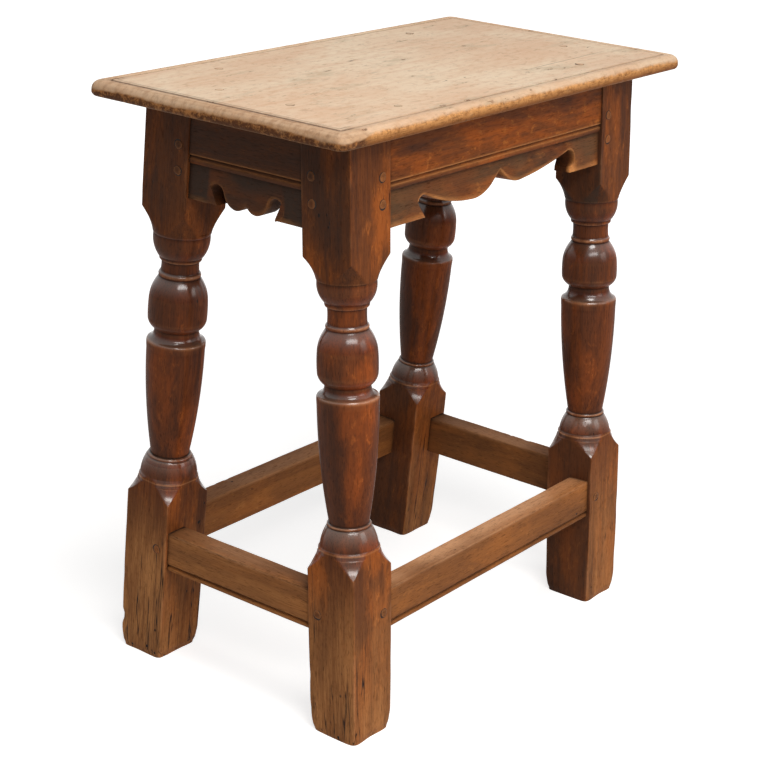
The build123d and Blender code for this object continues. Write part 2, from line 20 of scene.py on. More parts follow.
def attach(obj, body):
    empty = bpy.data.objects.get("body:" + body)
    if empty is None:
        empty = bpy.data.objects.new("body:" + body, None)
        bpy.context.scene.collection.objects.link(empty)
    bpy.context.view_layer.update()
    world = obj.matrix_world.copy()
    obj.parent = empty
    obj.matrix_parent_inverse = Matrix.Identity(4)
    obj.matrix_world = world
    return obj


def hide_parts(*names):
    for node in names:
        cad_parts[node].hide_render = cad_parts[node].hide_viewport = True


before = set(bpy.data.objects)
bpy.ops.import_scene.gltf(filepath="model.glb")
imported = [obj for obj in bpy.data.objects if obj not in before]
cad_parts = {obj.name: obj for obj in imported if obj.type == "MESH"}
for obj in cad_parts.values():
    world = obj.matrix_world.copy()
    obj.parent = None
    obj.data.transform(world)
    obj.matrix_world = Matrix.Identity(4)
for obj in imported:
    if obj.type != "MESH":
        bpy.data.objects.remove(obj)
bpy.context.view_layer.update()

MM = 0.001

# ---------------------------------------------------------------- sizes, in mm
FRAME_TOP = 546.0
SEAT_TOP = 560.0
SEAT_LENGTH = 528.0
SEAT_WIDTH = 282.0
SEAT_CORNER = 9.0
FLOOR_FACE = 146.0          # leg face from the middle of the stool, at the floor
TOP_FACE = 113.0            # the same at the top of the frame
LEG_WIDTH = 54.0
LEG_DEPTH = 52.0
HALF_LENGTH = 220.0
LONG_CLEAR = HALF_LENGTH - LEG_WIDTH
RAKE = math.atan2(FLOOR_FACE - TOP_FACE, FRAME_TOP)
HEAD_TOP = FRAME_TOP / math.cos(RAKE)       # top of the frame, measured up the slope
CORNER_REACH = math.hypot(LEG_WIDTH, LEG_DEPTH) / 2
LEG_AXIS_X = HALF_LENGTH - LEG_WIDTH / 2
LEG_AXIS_Y = FLOOR_FACE - LEG_DEPTH / 2 / math.cos(RAKE)

# Turned elements from the foot block upwards: height reached, radius, swell off a straight line.
TURNING = (
    (158.5, 37.8, 0.0),
    (172.7, 28.5, -0.9),    # hollow shoulder of the foot block
    (173.9, 28.6, 0.0),
    (174.2, 27.4, 0.0),
    (176.8, 27.3, 0.0),     # band
    (178.2, 27.5, 0.3),
    (180.0, 26.2, 0.1),     # bead line
    (197.8, 20.1, 1.0),     # bell
    (198.3, 19.2, 0.0),
    (200.9, 19.4, 0.5),     # low bead
    (201.2, 17.8, 0.0),
    (309.5, 27.1, 2.2),     # baluster
    (316.0, 27.3, 0.1),
    (318.6, 26.2, 0.4),
    (319.0, 25.3, 0.0),
    (324.4, 20.4, -1.0),    # cove
    (328.0, 20.4, -0.2),    # groove
    (337.4, 26.4, 1.2),     # underside of the bulb
    (356.0, 26.2, 0.3),
    (376.8, 18.8, 1.7),     # crown of the bulb
    (377.4, 18.1, 0.0),
    (381.8, 17.0, 1.3),     # high bead
    (396.7, 17.0, -0.3),    # neck
    (397.1, 18.9, 0.0),
    (401.3, 19.4, 0.1),     # fillet
    (401.7, 20.4, 0.0),
    (420.2, 25.5, 2.0),     # cup
    (420.7, 26.3, 0.0),
    (421.9, 26.5, 0.0),
    (441.0, 37.8, -1.5),    # hollow shoulder of the head block
)
# No two legs came off the lathe alike: heights of these landmarks on each, and how much
# stouter each is there.
LANDMARKS = (158.5, 178.2, 197.8, 201.2, 255.0, 319.0, 326.0,
             338.6, 356.0, 377.4, 381.8, 396.7, 401.7, 441.0)
LEG_HEIGHTS = {
    "front_left": LANDMARKS,
    "front_right": (158.0, 177.3, 195.8, 199.6, 254, 320.0, 330.2,
                    341.6, 357.0, 377.4, 382.4, 396.0, 400.6, 442.2),
    "back_left": (165.0, 182.5, 202.2, 205.6, 257, 320.0, 328.4,
                  340.0, 358.0, 380.2, 385.4, 396.0, 400.2, 445.8),
    "back_right": (160.0, 178.2, 196.8, 200.2, 255, 320.0, 329.2,
                   341.4, 358.0, 379.0, 383.6, 396.7, 401.7, 441.0),
}
LEG_STOUTNESS = {
    "front_left": (0, 0, 0, 0, 0, 0.2, 0.2, 0.2, 0.3, 0.2, 0.4, 0.3, 0.5, 0),
    "front_right": (0, -0.3, -0.6, -0.2, -0.3, 0.5, 0, 1.2, 1.1, 0.3, 1.0, 0.8, 0.8, 0),
    "back_left": (0, 0.5, 2.0, 0.2, -1.1, 0.1, 0.4, 0.7, 0.8, 0.6, 0.6, 0.3, 0.4, 0),
    "back_right": (0, -0.2, -0.4, -0.6, -1.6, 0, 0.5, 0.5, 0.5, 0.4, 0.4, 0.3, 0.3, 0),
}
PROFILE_STEP = 0.6          # between rings of the turning
LEG_POINTS = 136            # round a leg
ARRIS_LINE = 0.03           # half width of the change of tone at an arris

FACE_SETBACK = 1.5          # rail face behind the leg face
FIELD_SETBACK = 3.7         # scroll field behind the leg face
RAIL_BACK = 23.5
FASCIA_DROP = 45.0
BAND_FOOT = 53.2
EAR_DROP = 85.0
OVERRUN = 0.6               # how far a rail or stretcher runs into the leg
STRETCHER_FOOT = 96.0
STRETCHER_HEIGHT = 40.0
STRETCHER_SETBACK = 3.0
STRETCHER_BACK = 25.0
MARGIN_QUIRK = 14.2         # quirk line from the edge of the seat
LEFT_SCORE = 18.6           # second line, at the left end only
LEAST_INSET = 0.06          # keeps the worn edge within the seat's true size
PEG_FROM_SHOULDER = 11.0
RAIL_PEG_DROPS = (38.0, 61.0)

DEFAULT_MARKS = {"polish": 0.07, "bare": 0.0, "dust_and_sheen": 0.0, "faded": 0.0}


# ---------------------------------------------------------------- shape helpers
def unevenness(points, wavelength, seed):
    """Smooth noise, mostly within -1 to 1: sine waves of random direction and phase, added."""
    rng = np.random.default_rng(seed)
    waves = 16
    directions = rng.normal(size=(waves, 3))
    directions /= np.linalg.norm(directions, axis=1, keepdims=True)
    lengths = wavelength * rng.uniform(0.6, 1.8, (waves, 1))
    phases = rng.uniform(0, 2 * np.pi, waves)
    angles = points @ (2 * np.pi * directions / lengths).T + phases
    return np.sin(angles).sum(axis=-1) / math.sqrt(waves)


def soft_least(a, b, softness):
    """The lesser of two fields, rounded over where they cross."""
    gap = np.abs(a - b)
    return np.minimum(a, b) - softness * np.log1p(np.exp(-gap / softness))


def ease(low, high, values):
    """Smooth step from 0 at low to 1 at high."""
    share = np.clip((values - low) / (high - low), 0, 1)
    return share * share * (3 - 2 * share)


def fade(distance, reach):
    """1 at a distance of 0, dying away on both sides."""
    return np.exp(-np.abs(distance) / reach)


def hump(distance, width):
    """1 at a distance of 0, falling off like a bell on both sides."""
    return np.exp(-(distance / width) ** 2)


def smoothed(column, span):
    """A column averaged over a span of neighbours, of which the middle ones count most."""
    kernel = np.exp(-np.linspace(-2, 2, span) ** 2)
    kernel /= kernel.sum()
    padded = np.pad(column[:, 0], span // 2, mode="edge")
    return np.convolve(padded, kernel, mode="valid")[:, None]


def evenly(points, spacing):
    """An open polyline walked at an even spacing."""
    steps = np.linalg.norm(np.diff(points, axis=0), axis=1)
    walked = np.concatenate([[0], np.cumsum(steps)])
    stations = np.linspace(0, walked[-1], max(2, round(walked[-1] / spacing) + 1))
    return np.stack([np.interp(stations, walked, column) for column in points.T], axis=-1)


def arc(start, middle, end, count=24):
    """Points on the circle through three points, from the first to the last."""
    a, b, c = (np.array(p, float) for p in (start, middle, end))
    chords = 2 * np.array([b - a, c - a])
    centre = np.linalg.solve(chords, [b @ b - a @ a, c @ c - a @ a])
    spans = [math.atan2(*(p - centre)[::-1]) for p in (a, b, c)]
    turn = (spans[2] - spans[0]) % (2 * math.pi)
    if (spans[1] - spans[0]) % (2 * math.pi) > turn:
        turn -= 2 * math.pi
    angles = spans[0] + turn * np.linspace(0, 1, count)
    radius = np.linalg.norm(a - centre)
    return centre + radius * np.stack([np.cos(angles), np.sin(angles)], axis=-1)


def shell_faces(rings, first):
    """Quads between neighbouring rings and one face over each end."""
    levels, around = rings.shape[:2]
    index = first + np.arange(levels * around).reshape(levels, around)
    turned = np.roll(index, -1, axis=1)
    quads = np.stack([index[:-1], turned[:-1], turned[1:], index[1:]], axis=-1)
    return quads.reshape(-1, 4).tolist() + [index[0][::-1].tolist(), index[-1].tolist()]


def inside_out(rings):
    """True where the faces of a shell would point inwards, from the sign of its volume."""
    a, d = rings[:-1], rings[1:]
    b, c = np.roll(a, -1, axis=1), np.roll(d, -1, axis=1)
    side = np.einsum("...i,...i", a, np.cross(b, c)) + np.einsum("...i,...i", a, np.cross(c, d))
    volume = side.sum()
    for ring, sign in ((rings[0], -1), (rings[-1], 1)):
        fan = np.cross(ring[1:-1], ring[2:])
        volume += sign * (fan @ ring[0]).sum()
    return volume < 0


def shape_piece(name, shells, finish, nodes, sharp=38.0):
    """One piece from shells given as (rings, marks), standing for CAD nodes."""
    points, faces = [], []
    fields = {}
    count = 0
    for rings, marks in shells:
        for key, value in DEFAULT_MARKS.items():
            marks.setdefault(key, np.full(rings.shape[:2], value))
        if inside_out(rings):
            rings = rings[:, ::-1]
            marks = {key: value[:, ::-1] for key, value in marks.items()}
        faces += shell_faces(rings, count)
        count += rings.shape[0] * rings.shape[1]
        points.append(rings.reshape(-1, 3))
        for key, value in marks.items():
            fields.setdefault(key, []).append(value.reshape(-1, *value.shape[2:]))
    mesh = bpy.data.meshes.new(name)
    mesh.from_pydata(np.concatenate(points) * MM, [], faces)
    for key, parts in fields.items():
        values = np.concatenate(parts)
        kind, member = ("FLOAT_VECTOR", "vector") if values.ndim == 2 else ("FLOAT", "value")
        mesh.attributes.new(key, kind, "POINT").data.foreach_set(member, values.ravel())
    mesh.shade_smooth()
    mesh.set_sharp_from_angle(angle=math.radians(sharp))
    mesh.materials.append(finish)
    piece = bpy.data.objects.new(name, mesh)
    bpy.context.scene.collection.objects.link(piece)
    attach(piece, "root")
    if nodes:
        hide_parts(*nodes)


def grain_of(along, across, deep, seed):
    """Wood coordinates in metres, shifted to a place of their own in the grain."""
    shift = np.random.default_rng(seed).uniform(-3, 3, 3)
    return np.stack([along, across, deep], axis=-1) * MM + shift


def front_place(along, height, depth):
    """A point on or behind the sloping front face, from its height up the slope."""
    y = -FLOOR_FACE + height * math.sin(RAKE) + depth * math.cos(RAKE)
    z = height * math.cos(RAKE) - depth * math.sin(RAKE)
    return np.stack(np.broadcast_arrays(along, y, z), axis=-1)


def end_place(along, height, depth):
    """A point on or behind the upright left-hand end face."""
    return np.stack(np.broadcast_arrays(depth - HALF_LENGTH, -along, height), axis=-1)


def long_run(height):
    """Half the clear run between the legs of one long side, the same at any height."""
    return np.full_like(height, LONG_CLEAR)


def end_run(height):
    """Half the clear run between the legs of one end, at a height."""
    return FLOOR_FACE - height * math.tan(RAKE) - LEG_DEPTH / math.cos(RAKE)


# Where the pieces of a side lie: its face, its clear run, and the top of the frame on it.
LONG_SIDE = (front_place, long_run, HEAD_TOP)
END_SIDE = (end_place, end_run, FRAME_TOP)


def towards_leg(along, run, reach):
    """Grows to 1 where a rail or stretcher meets the leg."""
    return np.exp((np.abs(along) - run) / reach)


def half_turned(shells, half_turn):
    """Front or left shells as they are (1), or turned half round to the other side (-1)."""
    return [(rings * [half_turn, half_turn, 1], marks) for rings, marks in shells]


def corners():
    """Name, X side and Y side of the four corners."""
    for y_name, y_side in (("front", -1), ("back", 1)):
        for x_name, x_side in (("left", -1), ("right", 1)):
            yield f"{y_name}_{x_name}", x_side, y_side


def sided(rings, x_side, y_side):
    """A front left shell reflected to another corner."""
    return rings * np.array([-x_side, -y_side, 1.0])


# ---------------------------------------------------------------- legs
def turned_profile(corner):
    """Heights and radii up one leg's turning: bowed runs between its corners, eased by wear."""
    heights, extra = LEG_HEIGHTS[corner], LEG_STOUTNESS[corner]
    height, radius = heights[0], TURNING[0][1]
    line = [(height, radius)]
    for common, reached, swell in TURNING[1:]:
        next_height = float(np.interp(common, LANDMARKS, heights))
        reached += float(np.interp(common, LANDMARKS, extra))
        rise = next_height - height
        run = math.hypot(rise, reached - radius)
        shares = np.linspace(0, 1, max(2, round(run / PROFILE_STEP) + 1))[1:]
        bow = 4 * swell * shares * (1 - shares)
        along = height + rise * shares - bow * (reached - radius) / run
        out = radius + (reached - radius) * shares + bow * rise / run
        line += zip(along, out)
        height, radius = next_height, reached
    walked = evenly(np.array(line), PROFILE_STEP)
    worn = walked.copy()
    worn[1:-1] = 0.2 * walked[:-2] + 0.6 * walked[1:-1] + 0.2 * walked[2:]
    return worn


def leg_levels(turning):
    """Levels of a leg's rings, and the turning's radius at each. Over the foot and head blocks
    that radius stays clear of the square."""
    foot_top, head_foot = turning[0, 0], turning[-1, 0]
    foot = np.linspace(0, 1, 64)[:-1] ** 1.25 * foot_top
    head = head_foot + np.linspace(0, 1, 40)[1:] * (HEAD_TOP - head_foot)
    clear = CORNER_REACH + 4.0
    level = np.concatenate([foot, turning[:, 0], head])
    radius = np.concatenate([np.full(foot.size, clear), turning[:, 1], np.full(head.size, clear)])
    return level[:, None], radius[:, None]


def leg_form(corner, seed):
    """Front left leg's distance from its axis, at each level and angle: the lesser of the square
    billet's and the turning's, with the arrises broken by wear, dents, the foot rubbed away on
    the floor, and the outermost arris of the left legs gnawed low down."""
    turning = turned_profile(corner)
    foot_top, head_foot = turning[0, 0], turning[-1, 0]
    level, radius = leg_levels(turning)
    turn = np.arange(LEG_POINTS) / LEG_POINTS * 2 * np.pi
    closer_at_arrises = 0.17 * np.sin(4 * (turn - np.pi / 4) + np.pi)
    angle = (turn + closer_at_arrises)[None, :]
    cosine, sine = np.cos(angle), np.sin(angle)

    rough = np.stack(np.broadcast_arrays(40 * cosine, 40 * sine, level), axis=-1)
    wear = ease(-0.5, 1.6, unevenness(rough, 40, seed))
    low_wear = 1 - ease(0, 95, level)
    softness = (0.28 + 0.5 * wear ** 2 + 0.7 * low_wear * (0.5 + 0.5 * wear)
                + 3.2 * (1 - ease(0, 20, level)))
    square = soft_least(
        LEG_WIDTH / 2 / np.maximum(np.abs(cosine), 0.2),
        LEG_DEPTH / 2 / np.maximum(np.abs(sine), 0.2),
        softness,
    )
    in_foot = 1 - ease(foot_top + 21.0, foot_top + 22.0, level)
    blocks = in_foot + ease(head_foot - 22.0, head_foot - 21.0, level)
    reach = soft_least(square + 12 * (1 - blocks), radius + 0 * angle, 0.22)
    reach = np.where(blocks > 0, reach, radius + 0 * angle)

    uneven = 0.14 * unevenness(rough * [1, 1, 0.25], 70, seed + 1)
    dents = ease(1.5, 2.3, unevenness(rough, 11, seed + 2)) * (0.25 + 0.5 * low_wear)
    reach = reach - 0.14 + uneven * 0.6 - 0.55 * dents
    taper = 0.7 * (1 - ease(0, 90, level))
    edge_loss = (1 - ease(0, 1, level / 7)) * (1.6 + 0.8 * unevenness(rough, 75, seed + 3))
    broken = (1 - ease(0, 18, level)) * ease(1.2, 2.2, unevenness(rough, 26, seed + 4)) * 1.2
    diagonal = math.atan2(LEG_DEPTH, LEG_WIDTH)
    folded = angle % np.pi
    from_arris = np.minimum(np.abs(folded - diagonal), np.abs(folded - np.pi + diagonal))
    from_arris = from_arris * CORNER_REACH
    outermost = (cosine < 0) * ((sine > 0) == (corner == "front_left")) * ("left" in corner)
    low_down = 1 - ease(60, 125, level)
    rot = ease(0.2, 1.5, unevenness(rough * [1, 1, 0.55], 13, seed + 6))
    gnawed = rot * outermost * low_down * hump(from_arris, 5.0)
    reach = reach - taper - np.maximum(edge_loss, 0) - broken - 1.5 * gnawed
    return SimpleNamespace(
        level=level, radius=radius, cosine=cosine, sine=sine, rough=rough, square=square,
        blocks=blocks, from_arris=from_arris, gnawed=gnawed, reach=reach)


def leg_marks(form, corner, seed, scuff):
    """Convex places are rubbed pale, hollows and lines keep their grime, and what faces upwards
    on the turning and the foot's facets has kept its polish. Scuff is how pale the foot's outer
    face is. Painted shade darkens the head, the wood just under the seat, the blocks' inner
    faces, the -X side of the turning and partly the waists. The feet are paler low down, partly
    from scuffing and partly as a painted light, and a pale grey on upward faces and the foot's
    facets is partly a painted sheen."""
    level, radius, cosine, blocks = form.level, form.radius, form.cosine, form.blocks
    is_foot = level < 300
    facet = blocks * ease(0.0, 1.2, form.square - radius)
    turned = 1 - blocks
    relief = (radius - smoothed(radius, 15)) * np.clip(turned + facet, 0, 1)
    ever_higher = np.maximum(level[:, 0], 0) + 0.001 * np.arange(level.size)
    slope = -np.gradient(radius[:, 0], ever_higher)[:, None]
    round_polish = 0.12 + 0.6 * ease(0.1, 0.7, slope) + 0.2 * ease(0.2, 0.9, -slope)
    to_tip = 0.35 + 0.65 * ease(29, 35, radius)
    facet_polish = facet * np.where(is_foot, 0.9 * to_tip, 0.06) * ease(20, 26, radius)
    crown = turned * ease(0.25, 1.0, slope)
    arris = fade(form.from_arris, 0.8) * blocks * (1 - facet)
    patchy = ease(-0.7, 1.3, unevenness(form.rough, 34, seed + 5))
    ring = fade(level - LEG_HEIGHTS[corner][1], 0.45)
    beyond_arris = np.abs(cosine) - np.abs(form.sine) * LEG_WIDTH / LEG_DEPTH
    outer, inner = (ease(-ARRIS_LINE, ARRIS_LINE, beyond_arris) * (side * cosine > 0)
                    for side in (-1, 1))
    # Painted shade: the head is darkened all round and most on its outer face, and the wood just
    # under the seat more still.
    in_head = ease(410, 470, level)
    shaded = in_head * (0.28 + 0.72 * outer) * (1 - facet) + 0.6 * fade(HEAD_TOP - level, 8)
    # Paler low down and on the outer faces: partly scuffing, and partly a painted light for the
    # floor's bounce.
    scuffed = (1 - ease(60, 185, level)) * (0.45 + scuff * outer) + 0.25 * (1 - ease(5, 60, level))
    # Painted shade: the inner faces of the blocks are darkened.
    inner_shade = 0.55 * (blocks > 0) * inner
    # The waists are darker and greyer: partly wax and grime in the hollows, and partly painted
    # shade.
    waist = turned * ease(0.6, 2.4, smoothed(radius, 41) - radius)
    # Painted shade: the turning is darkened on its -X side.
    away = ease(0.1, 0.95, -cosine if "left" in corner else cosine)
    # Pale grey on upward slopes, on the bell and the bands below it, in the waists and on the
    # foot's facets, most towards their tips: partly a dusting, partly a painted sheen.
    dust_and_sheen_share = turned * ease(0.3, 1.3, slope) * 0.2 + facet * is_foot * 0.45 * to_tip + 0.25 * waist
    dust_and_sheen_share = dust_and_sheen_share + 0.22 * turned * (level < 198) * ease(0.0, 0.5, slope)
    return {
        # The pale lines on convex rims and round the band stand partly for rubbed edges and partly
        # for a painted highlight.
        "wear": np.clip(relief / 0.5, 0, 1) * (0.3 + 0.5 * patchy)
        + arris * patchy * np.where(is_foot, 0.6, 0.3) + 0.45 * ring,
        "grime": np.clip(-relief / 0.55, 0, 1) * (1 - 0.85 * facet * is_foot)
        + 0.5 * form.gnawed,
        "polish": turned * round_polish + facet_polish + 0.06 * blocks * (1 - facet),
        "bare": scuffed * (1 - inner) - inner_shade - 0.5 * shaded - 0.4 * facet * ~is_foot
        - turned * (0.3 * crown + 0.4 * away) - 0.45 * waist,
        "dust_and_sheen": dust_and_sheen_share + 0 * cosine,
    }


def leg_rings(corner, seed, scuff):
    """Front left leg leaned to its rake, with its foot and head cut level."""
    form = leg_form(corner, seed)
    x, y = form.reach * form.cosine, form.reach * form.sine
    cut_foot = y * math.tan(RAKE) * (1 - ease(0, 150, form.level))
    cut_head = y * math.tan(RAKE) * ease(445, HEAD_TOP, form.level)
    z = form.level + cut_foot + cut_head
    marks = {"grain": grain_of(z, x, y, seed), **leg_marks(form, corner, seed, scuff)}
    leaning = np.stack([
        x - LEG_AXIS_X,
        -LEG_AXIS_Y + y * math.cos(RAKE) + z * math.sin(RAKE),
        np.clip(z * math.cos(RAKE) - y * math.sin(RAKE), 0, FRAME_TOP),
    ], axis=-1)
    return leaning, marks


def build_legs(finish):
    for seed, (corner, x_side, y_side) in enumerate(corners(), start=11):
        rings, marks = leg_rings(corner, seed * 10, 0.9 if corner == "back_left" else 0.45)
        name = f"leg_{corner}"
        shells = [(sided(rings, x_side, y_side), marks)]
        shape_piece(f"{name}_oak", shells, finish, [name])


# ---------------------------------------------------------------- seat rails
def moulding_section():
    """Front of a rail as (depth, drop): fascia, quirk, bead and quirk."""
    face, foot = FACE_SETBACK, FASCIA_DROP
    bead = face + 1.3
    return np.concatenate([
        np.stack([np.full(16, face), np.linspace(-1.5, foot - 2.0, 16)], axis=-1),
        arc((face, foot - 1.2), (face + 0.25, foot - 0.4), (face + 0.9, foot), 6),
        [[face + 1.9, foot + 0.6], [bead, foot + 1.4]],
        arc((bead, foot + 1.6), (face + 0.35, foot + 4.6), (bead - 0.1, BAND_FOOT - 1.1), 14),
        [[bead + 0.7, BAND_FOOT - 0.3], [FIELD_SETBACK + 0.6, BAND_FOOT]],
    ])


def board_shell(side, seed, shade):
    """Moulded upper part of a rail: one section loop carried from leg to leg. Shade is how much
    darker it is painted, as a negative number: painted shade on the end rails. Just under the
    seat it is darkened too, as a painted shadow."""
    place, run_at, top = side
    back = [(RAIL_BACK, drop) for drop in (BAND_FOOT + 1.0, 40.0, 20.0, -1.5)]
    depth, drop = np.concatenate([moulding_section(), back]).T[:, None]
    height = top - drop
    run = run_at(height)
    along = np.linspace(-1, 1, 150)[:, None] * (run + OVERRUN)
    rough = np.stack(np.broadcast_arrays(along, drop, depth), axis=-1)
    on_face = depth < RAIL_BACK - 1
    depth = depth + on_face * (0.12 * unevenness(rough * [1, 0.5, 0], 60, seed) + 0.12)
    depth = depth + on_face * 0.25 * ease(1.2, 2.2, unevenness(rough, 14, seed + 1))
    below = drop - FASCIA_DROP
    wear = 1.2 * fade(below + 0.6, 0.45) + 0.6 * fade(below - 3.2, 0.8)
    quirks = fade(below - 1.2, 0.5) + fade(drop - BAND_FOOT + 0.2, 0.6)
    # Painted shadow: the wood just under the seat is darkened.
    seat_shadow = fade(np.maximum(drop, 0), 7)
    flat = 0 * depth
    marks = {
        "grain": grain_of(along + flat, drop + flat, depth, seed),
        "wear": wear * on_face * (1 + 0.6 * shade) + flat,
        "grime": np.clip(quirks * on_face + towards_leg(along, run, 1.6), 0, 1) + flat,
        "bare": shade * (1 - 0.4 * ease(40, 60, drop)) - 0.4 * seat_shadow + flat,
    }
    return place(along, height, depth), marks


def half_scroll(cusp_drop, lobe, flank, start, side, end, tip, clear):
    """Sawn lower edge of a rail, from its middle out to the leg, as (distance, drop, top). Top
    is where a point's line meets the top of the scroll board, so that no line crosses the
    C-shaped notch."""
    fall = lobe[1] - cusp_drop
    inner = (lobe[0] * 0.3, cusp_drop + fall * 0.6)
    round_off = (lobe[0] * 0.58, cusp_drop + fall * 0.91)
    stretch = clear - side[0]
    runs = (
        (np.array([(0, cusp_drop), inner]), 1.2, inner[0]),
        (arc(inner, round_off, lobe, 60), 1.2, lobe[0]),
        (arc(lobe, flank, start, 60), 1.2, start[0] + 1),
        (arc(start, side, end, 80), 0.7, side[0] + 0.24 * stretch),
        (np.array([end, tip]), 0.8, side[0] + 0.34 * stretch),
        (np.array([tip, (clear, EAR_DROP)]), 1.5, clear),
    )
    rows, top_start = [], 0
    for line, spacing, top_end in runs:
        points = evenly(line, spacing)
        tops = np.linspace(top_start, top_end, len(points))
        rows.append(np.column_stack([points, tops])[bool(rows):])
        top_start = top_end
    return np.concatenate(rows)


LONG_CUSP_DROP = 62.0
LOW_LOBE = dict(lobe=(45.0, 81.2), flank=(76.0, 77.0), start=(112.0, 65.0), side=(122.7, 72.8),
                end=(115.0, 81.4), tip=(112.3, EAR_DROP))
HIGH_LOBE = dict(lobe=(35.0, 76.6), flank=(72.0, 71.6), start=(109.0, 63.2), side=(123.2, 70.6),
                 end=(119.0, 80.0), tip=(118.5, EAR_DROP))
SHORT_CUSP_DROP = 79.0
SHORT_LOBE = dict(lobe=(12.6, 85.2), flank=(20.4, 81.2), start=(25.2, 72.8), side=(39.6, 68.6),
                  end=(38.6, 81.6), tip=(32.4, EAR_DROP))
TORN_EAR = (121.0, 82.0)    # along and drop of the sliver lost from a long rail
FACE_COLUMNS = 7            # of a scroll loop, down the face
ROUND_COLUMNS = 6           # and round an arris


def scroll_loops(line):
    """Loops round the scroll board, one at each point of its sawn edge, as distance, drop and
    depth: down the face, round the worn arris, through the thickness and up the back."""
    edge = line[:, :2]
    tangent = np.gradient(edge, axis=0)
    tangent /= np.linalg.norm(tangent, axis=1, keepdims=True)
    inward = np.stack([tangent[:, 1], -tangent[:, 0]], axis=-1)
    round_front, round_back = 1.1, 0.7
    quarter = np.linspace(0, np.pi / 2, ROUND_COLUMNS)
    inset = np.concatenate([
        round_front * (1 - np.sin(quarter)), [0, 0], round_back * (1 - np.cos(quarter)),
    ])
    depth = np.concatenate([
        np.full(FACE_COLUMNS, FIELD_SETBACK),
        FIELD_SETBACK + round_front * (1 - np.cos(quarter)),
        [FIELD_SETBACK + 7, FIELD_SETBACK + 14],
        RAIL_BACK - round_back * (1 - np.sin(quarter)),
        [RAIL_BACK, RAIL_BACK],
    ])
    rounded = edge[:, None, :] + inward[:, None, :] * inset[None, :, None]
    top = np.stack([line[:, 2], np.full(len(line), BAND_FOOT - 1.5)], axis=-1)[:, None]
    shares = np.linspace(0, 1, FACE_COLUMNS + 1)[:-1, None]
    front = top * (1 - shares) + rounded[:, :1] * shares
    halfway_up = rounded[:, -1:] * 0.5 + top * 0.5
    outline = np.concatenate([front, rounded, halfway_up, top], axis=1)
    return outline[..., 0], outline[..., 1], depth[None, :]


def scroll_shell(side, cusp_drop, left, right, seed, shade, faded=0.0, torn=None):
    """Scroll-cut lower part of a rail. Shade is as on the board above it: painted shade on the end
    rails, a darker field on the long ones, most towards the ends. Faded is how far the face
    has gone olive, and torn the place where a sliver has split away."""
    place, run_at, top = side
    foot_run = float(run_at(np.array(top - EAR_DROP)))
    right_half = half_scroll(cusp_drop, clear=foot_run, **right)
    left_half = half_scroll(cusp_drop, clear=foot_run, **left)[::-1] * [-1, 1, -1]
    along, drop, depth = scroll_loops(np.concatenate([left_half[:-1], right_half]))
    height = top - drop
    run = run_at(height)
    along = along * (run + OVERRUN) / foot_run
    rough = np.stack(np.broadcast_arrays(along, drop, depth), axis=-1)
    on_face = depth < FIELD_SETBACK + 3
    depth = depth + on_face * (0.15 + 0.12 * unevenness(rough * [1, 1, 0], 30, seed))
    split = 0 * along
    if torn:
        reach = ((along - torn[0]) / 5.0) ** 2 + ((drop - torn[1]) / 3.5) ** 2
        split = np.exp(-reach) * on_face
    depth = depth + 2.2 * split
    column = np.arange(drop.shape[1])
    in_arris = (column >= FACE_COLUMNS) * (column < FACE_COLUMNS + ROUND_COLUMNS)
    sawn = (column >= FACE_COLUMNS + ROUND_COLUMNS) * (depth < RAIL_BACK - 0.1)
    outward = np.abs(along) / run
    near_band = np.exp((BAND_FOOT - drop) / 1.5) * on_face
    # Dark inside the notches' sawn edges: partly dirt and partly painted shade.
    dirt = near_band + towards_leg(along, run, 1.6) + 0.8 * sawn * ease(0.60, 0.68, outward)
    rubbed = (0.6 + 0.3 * unevenness(rough, 25, seed + 2)) * (1 + 0.8 * shade)
    dark = 1 + 0.3 * unevenness(rough, 45, seed + 3) + 1.3 * ease(0.6, 0.85, outward)
    marks = {
        "grain": grain_of(along, drop, depth, seed + 1),
        "wear": in_arris * rubbed + 1.6 * split,
        "grime": np.clip(dirt, 0, 1),
        "faded": faded * (1 + 0.5 * unevenness(rough, 40, seed + 4)) * on_face + 0 * drop,
        "bare": shade * dark,
    }
    return place(along, height, depth), marks


def build_rails(finish):
    """Four rails. The back and right ones are the front and left ones turned half round."""
    long_scroll = (LONG_SIDE, LONG_CUSP_DROP, LOW_LOBE, HIGH_LOBE)
    end_scroll = (END_SIDE, SHORT_CUSP_DROP, SHORT_LOBE, SHORT_LOBE)
    for name, half_turn, seed in (
        ("front", 1, 301), ("back", -1, 351), ("left", 1, 401), ("right", -1, 451),
    ):
        if name in ("front", "back"):
            board = board_shell(LONG_SIDE, seed, 0.0)
            scroll = scroll_shell(*long_scroll, seed + 20, -0.17, 0.13, TORN_EAR)
        else:
            # The end rails are darkened as painted shade: they sit under the seat's overhang, away
            # from the lamps.
            board = board_shell(END_SIDE, seed, -0.7)
            scroll = scroll_shell(*end_scroll, seed + 20, -0.85)
        shells = half_turned([board, scroll], half_turn)
        shape_piece(f"rail_{name}_oak", shells, finish, [f"rail_{name}"])


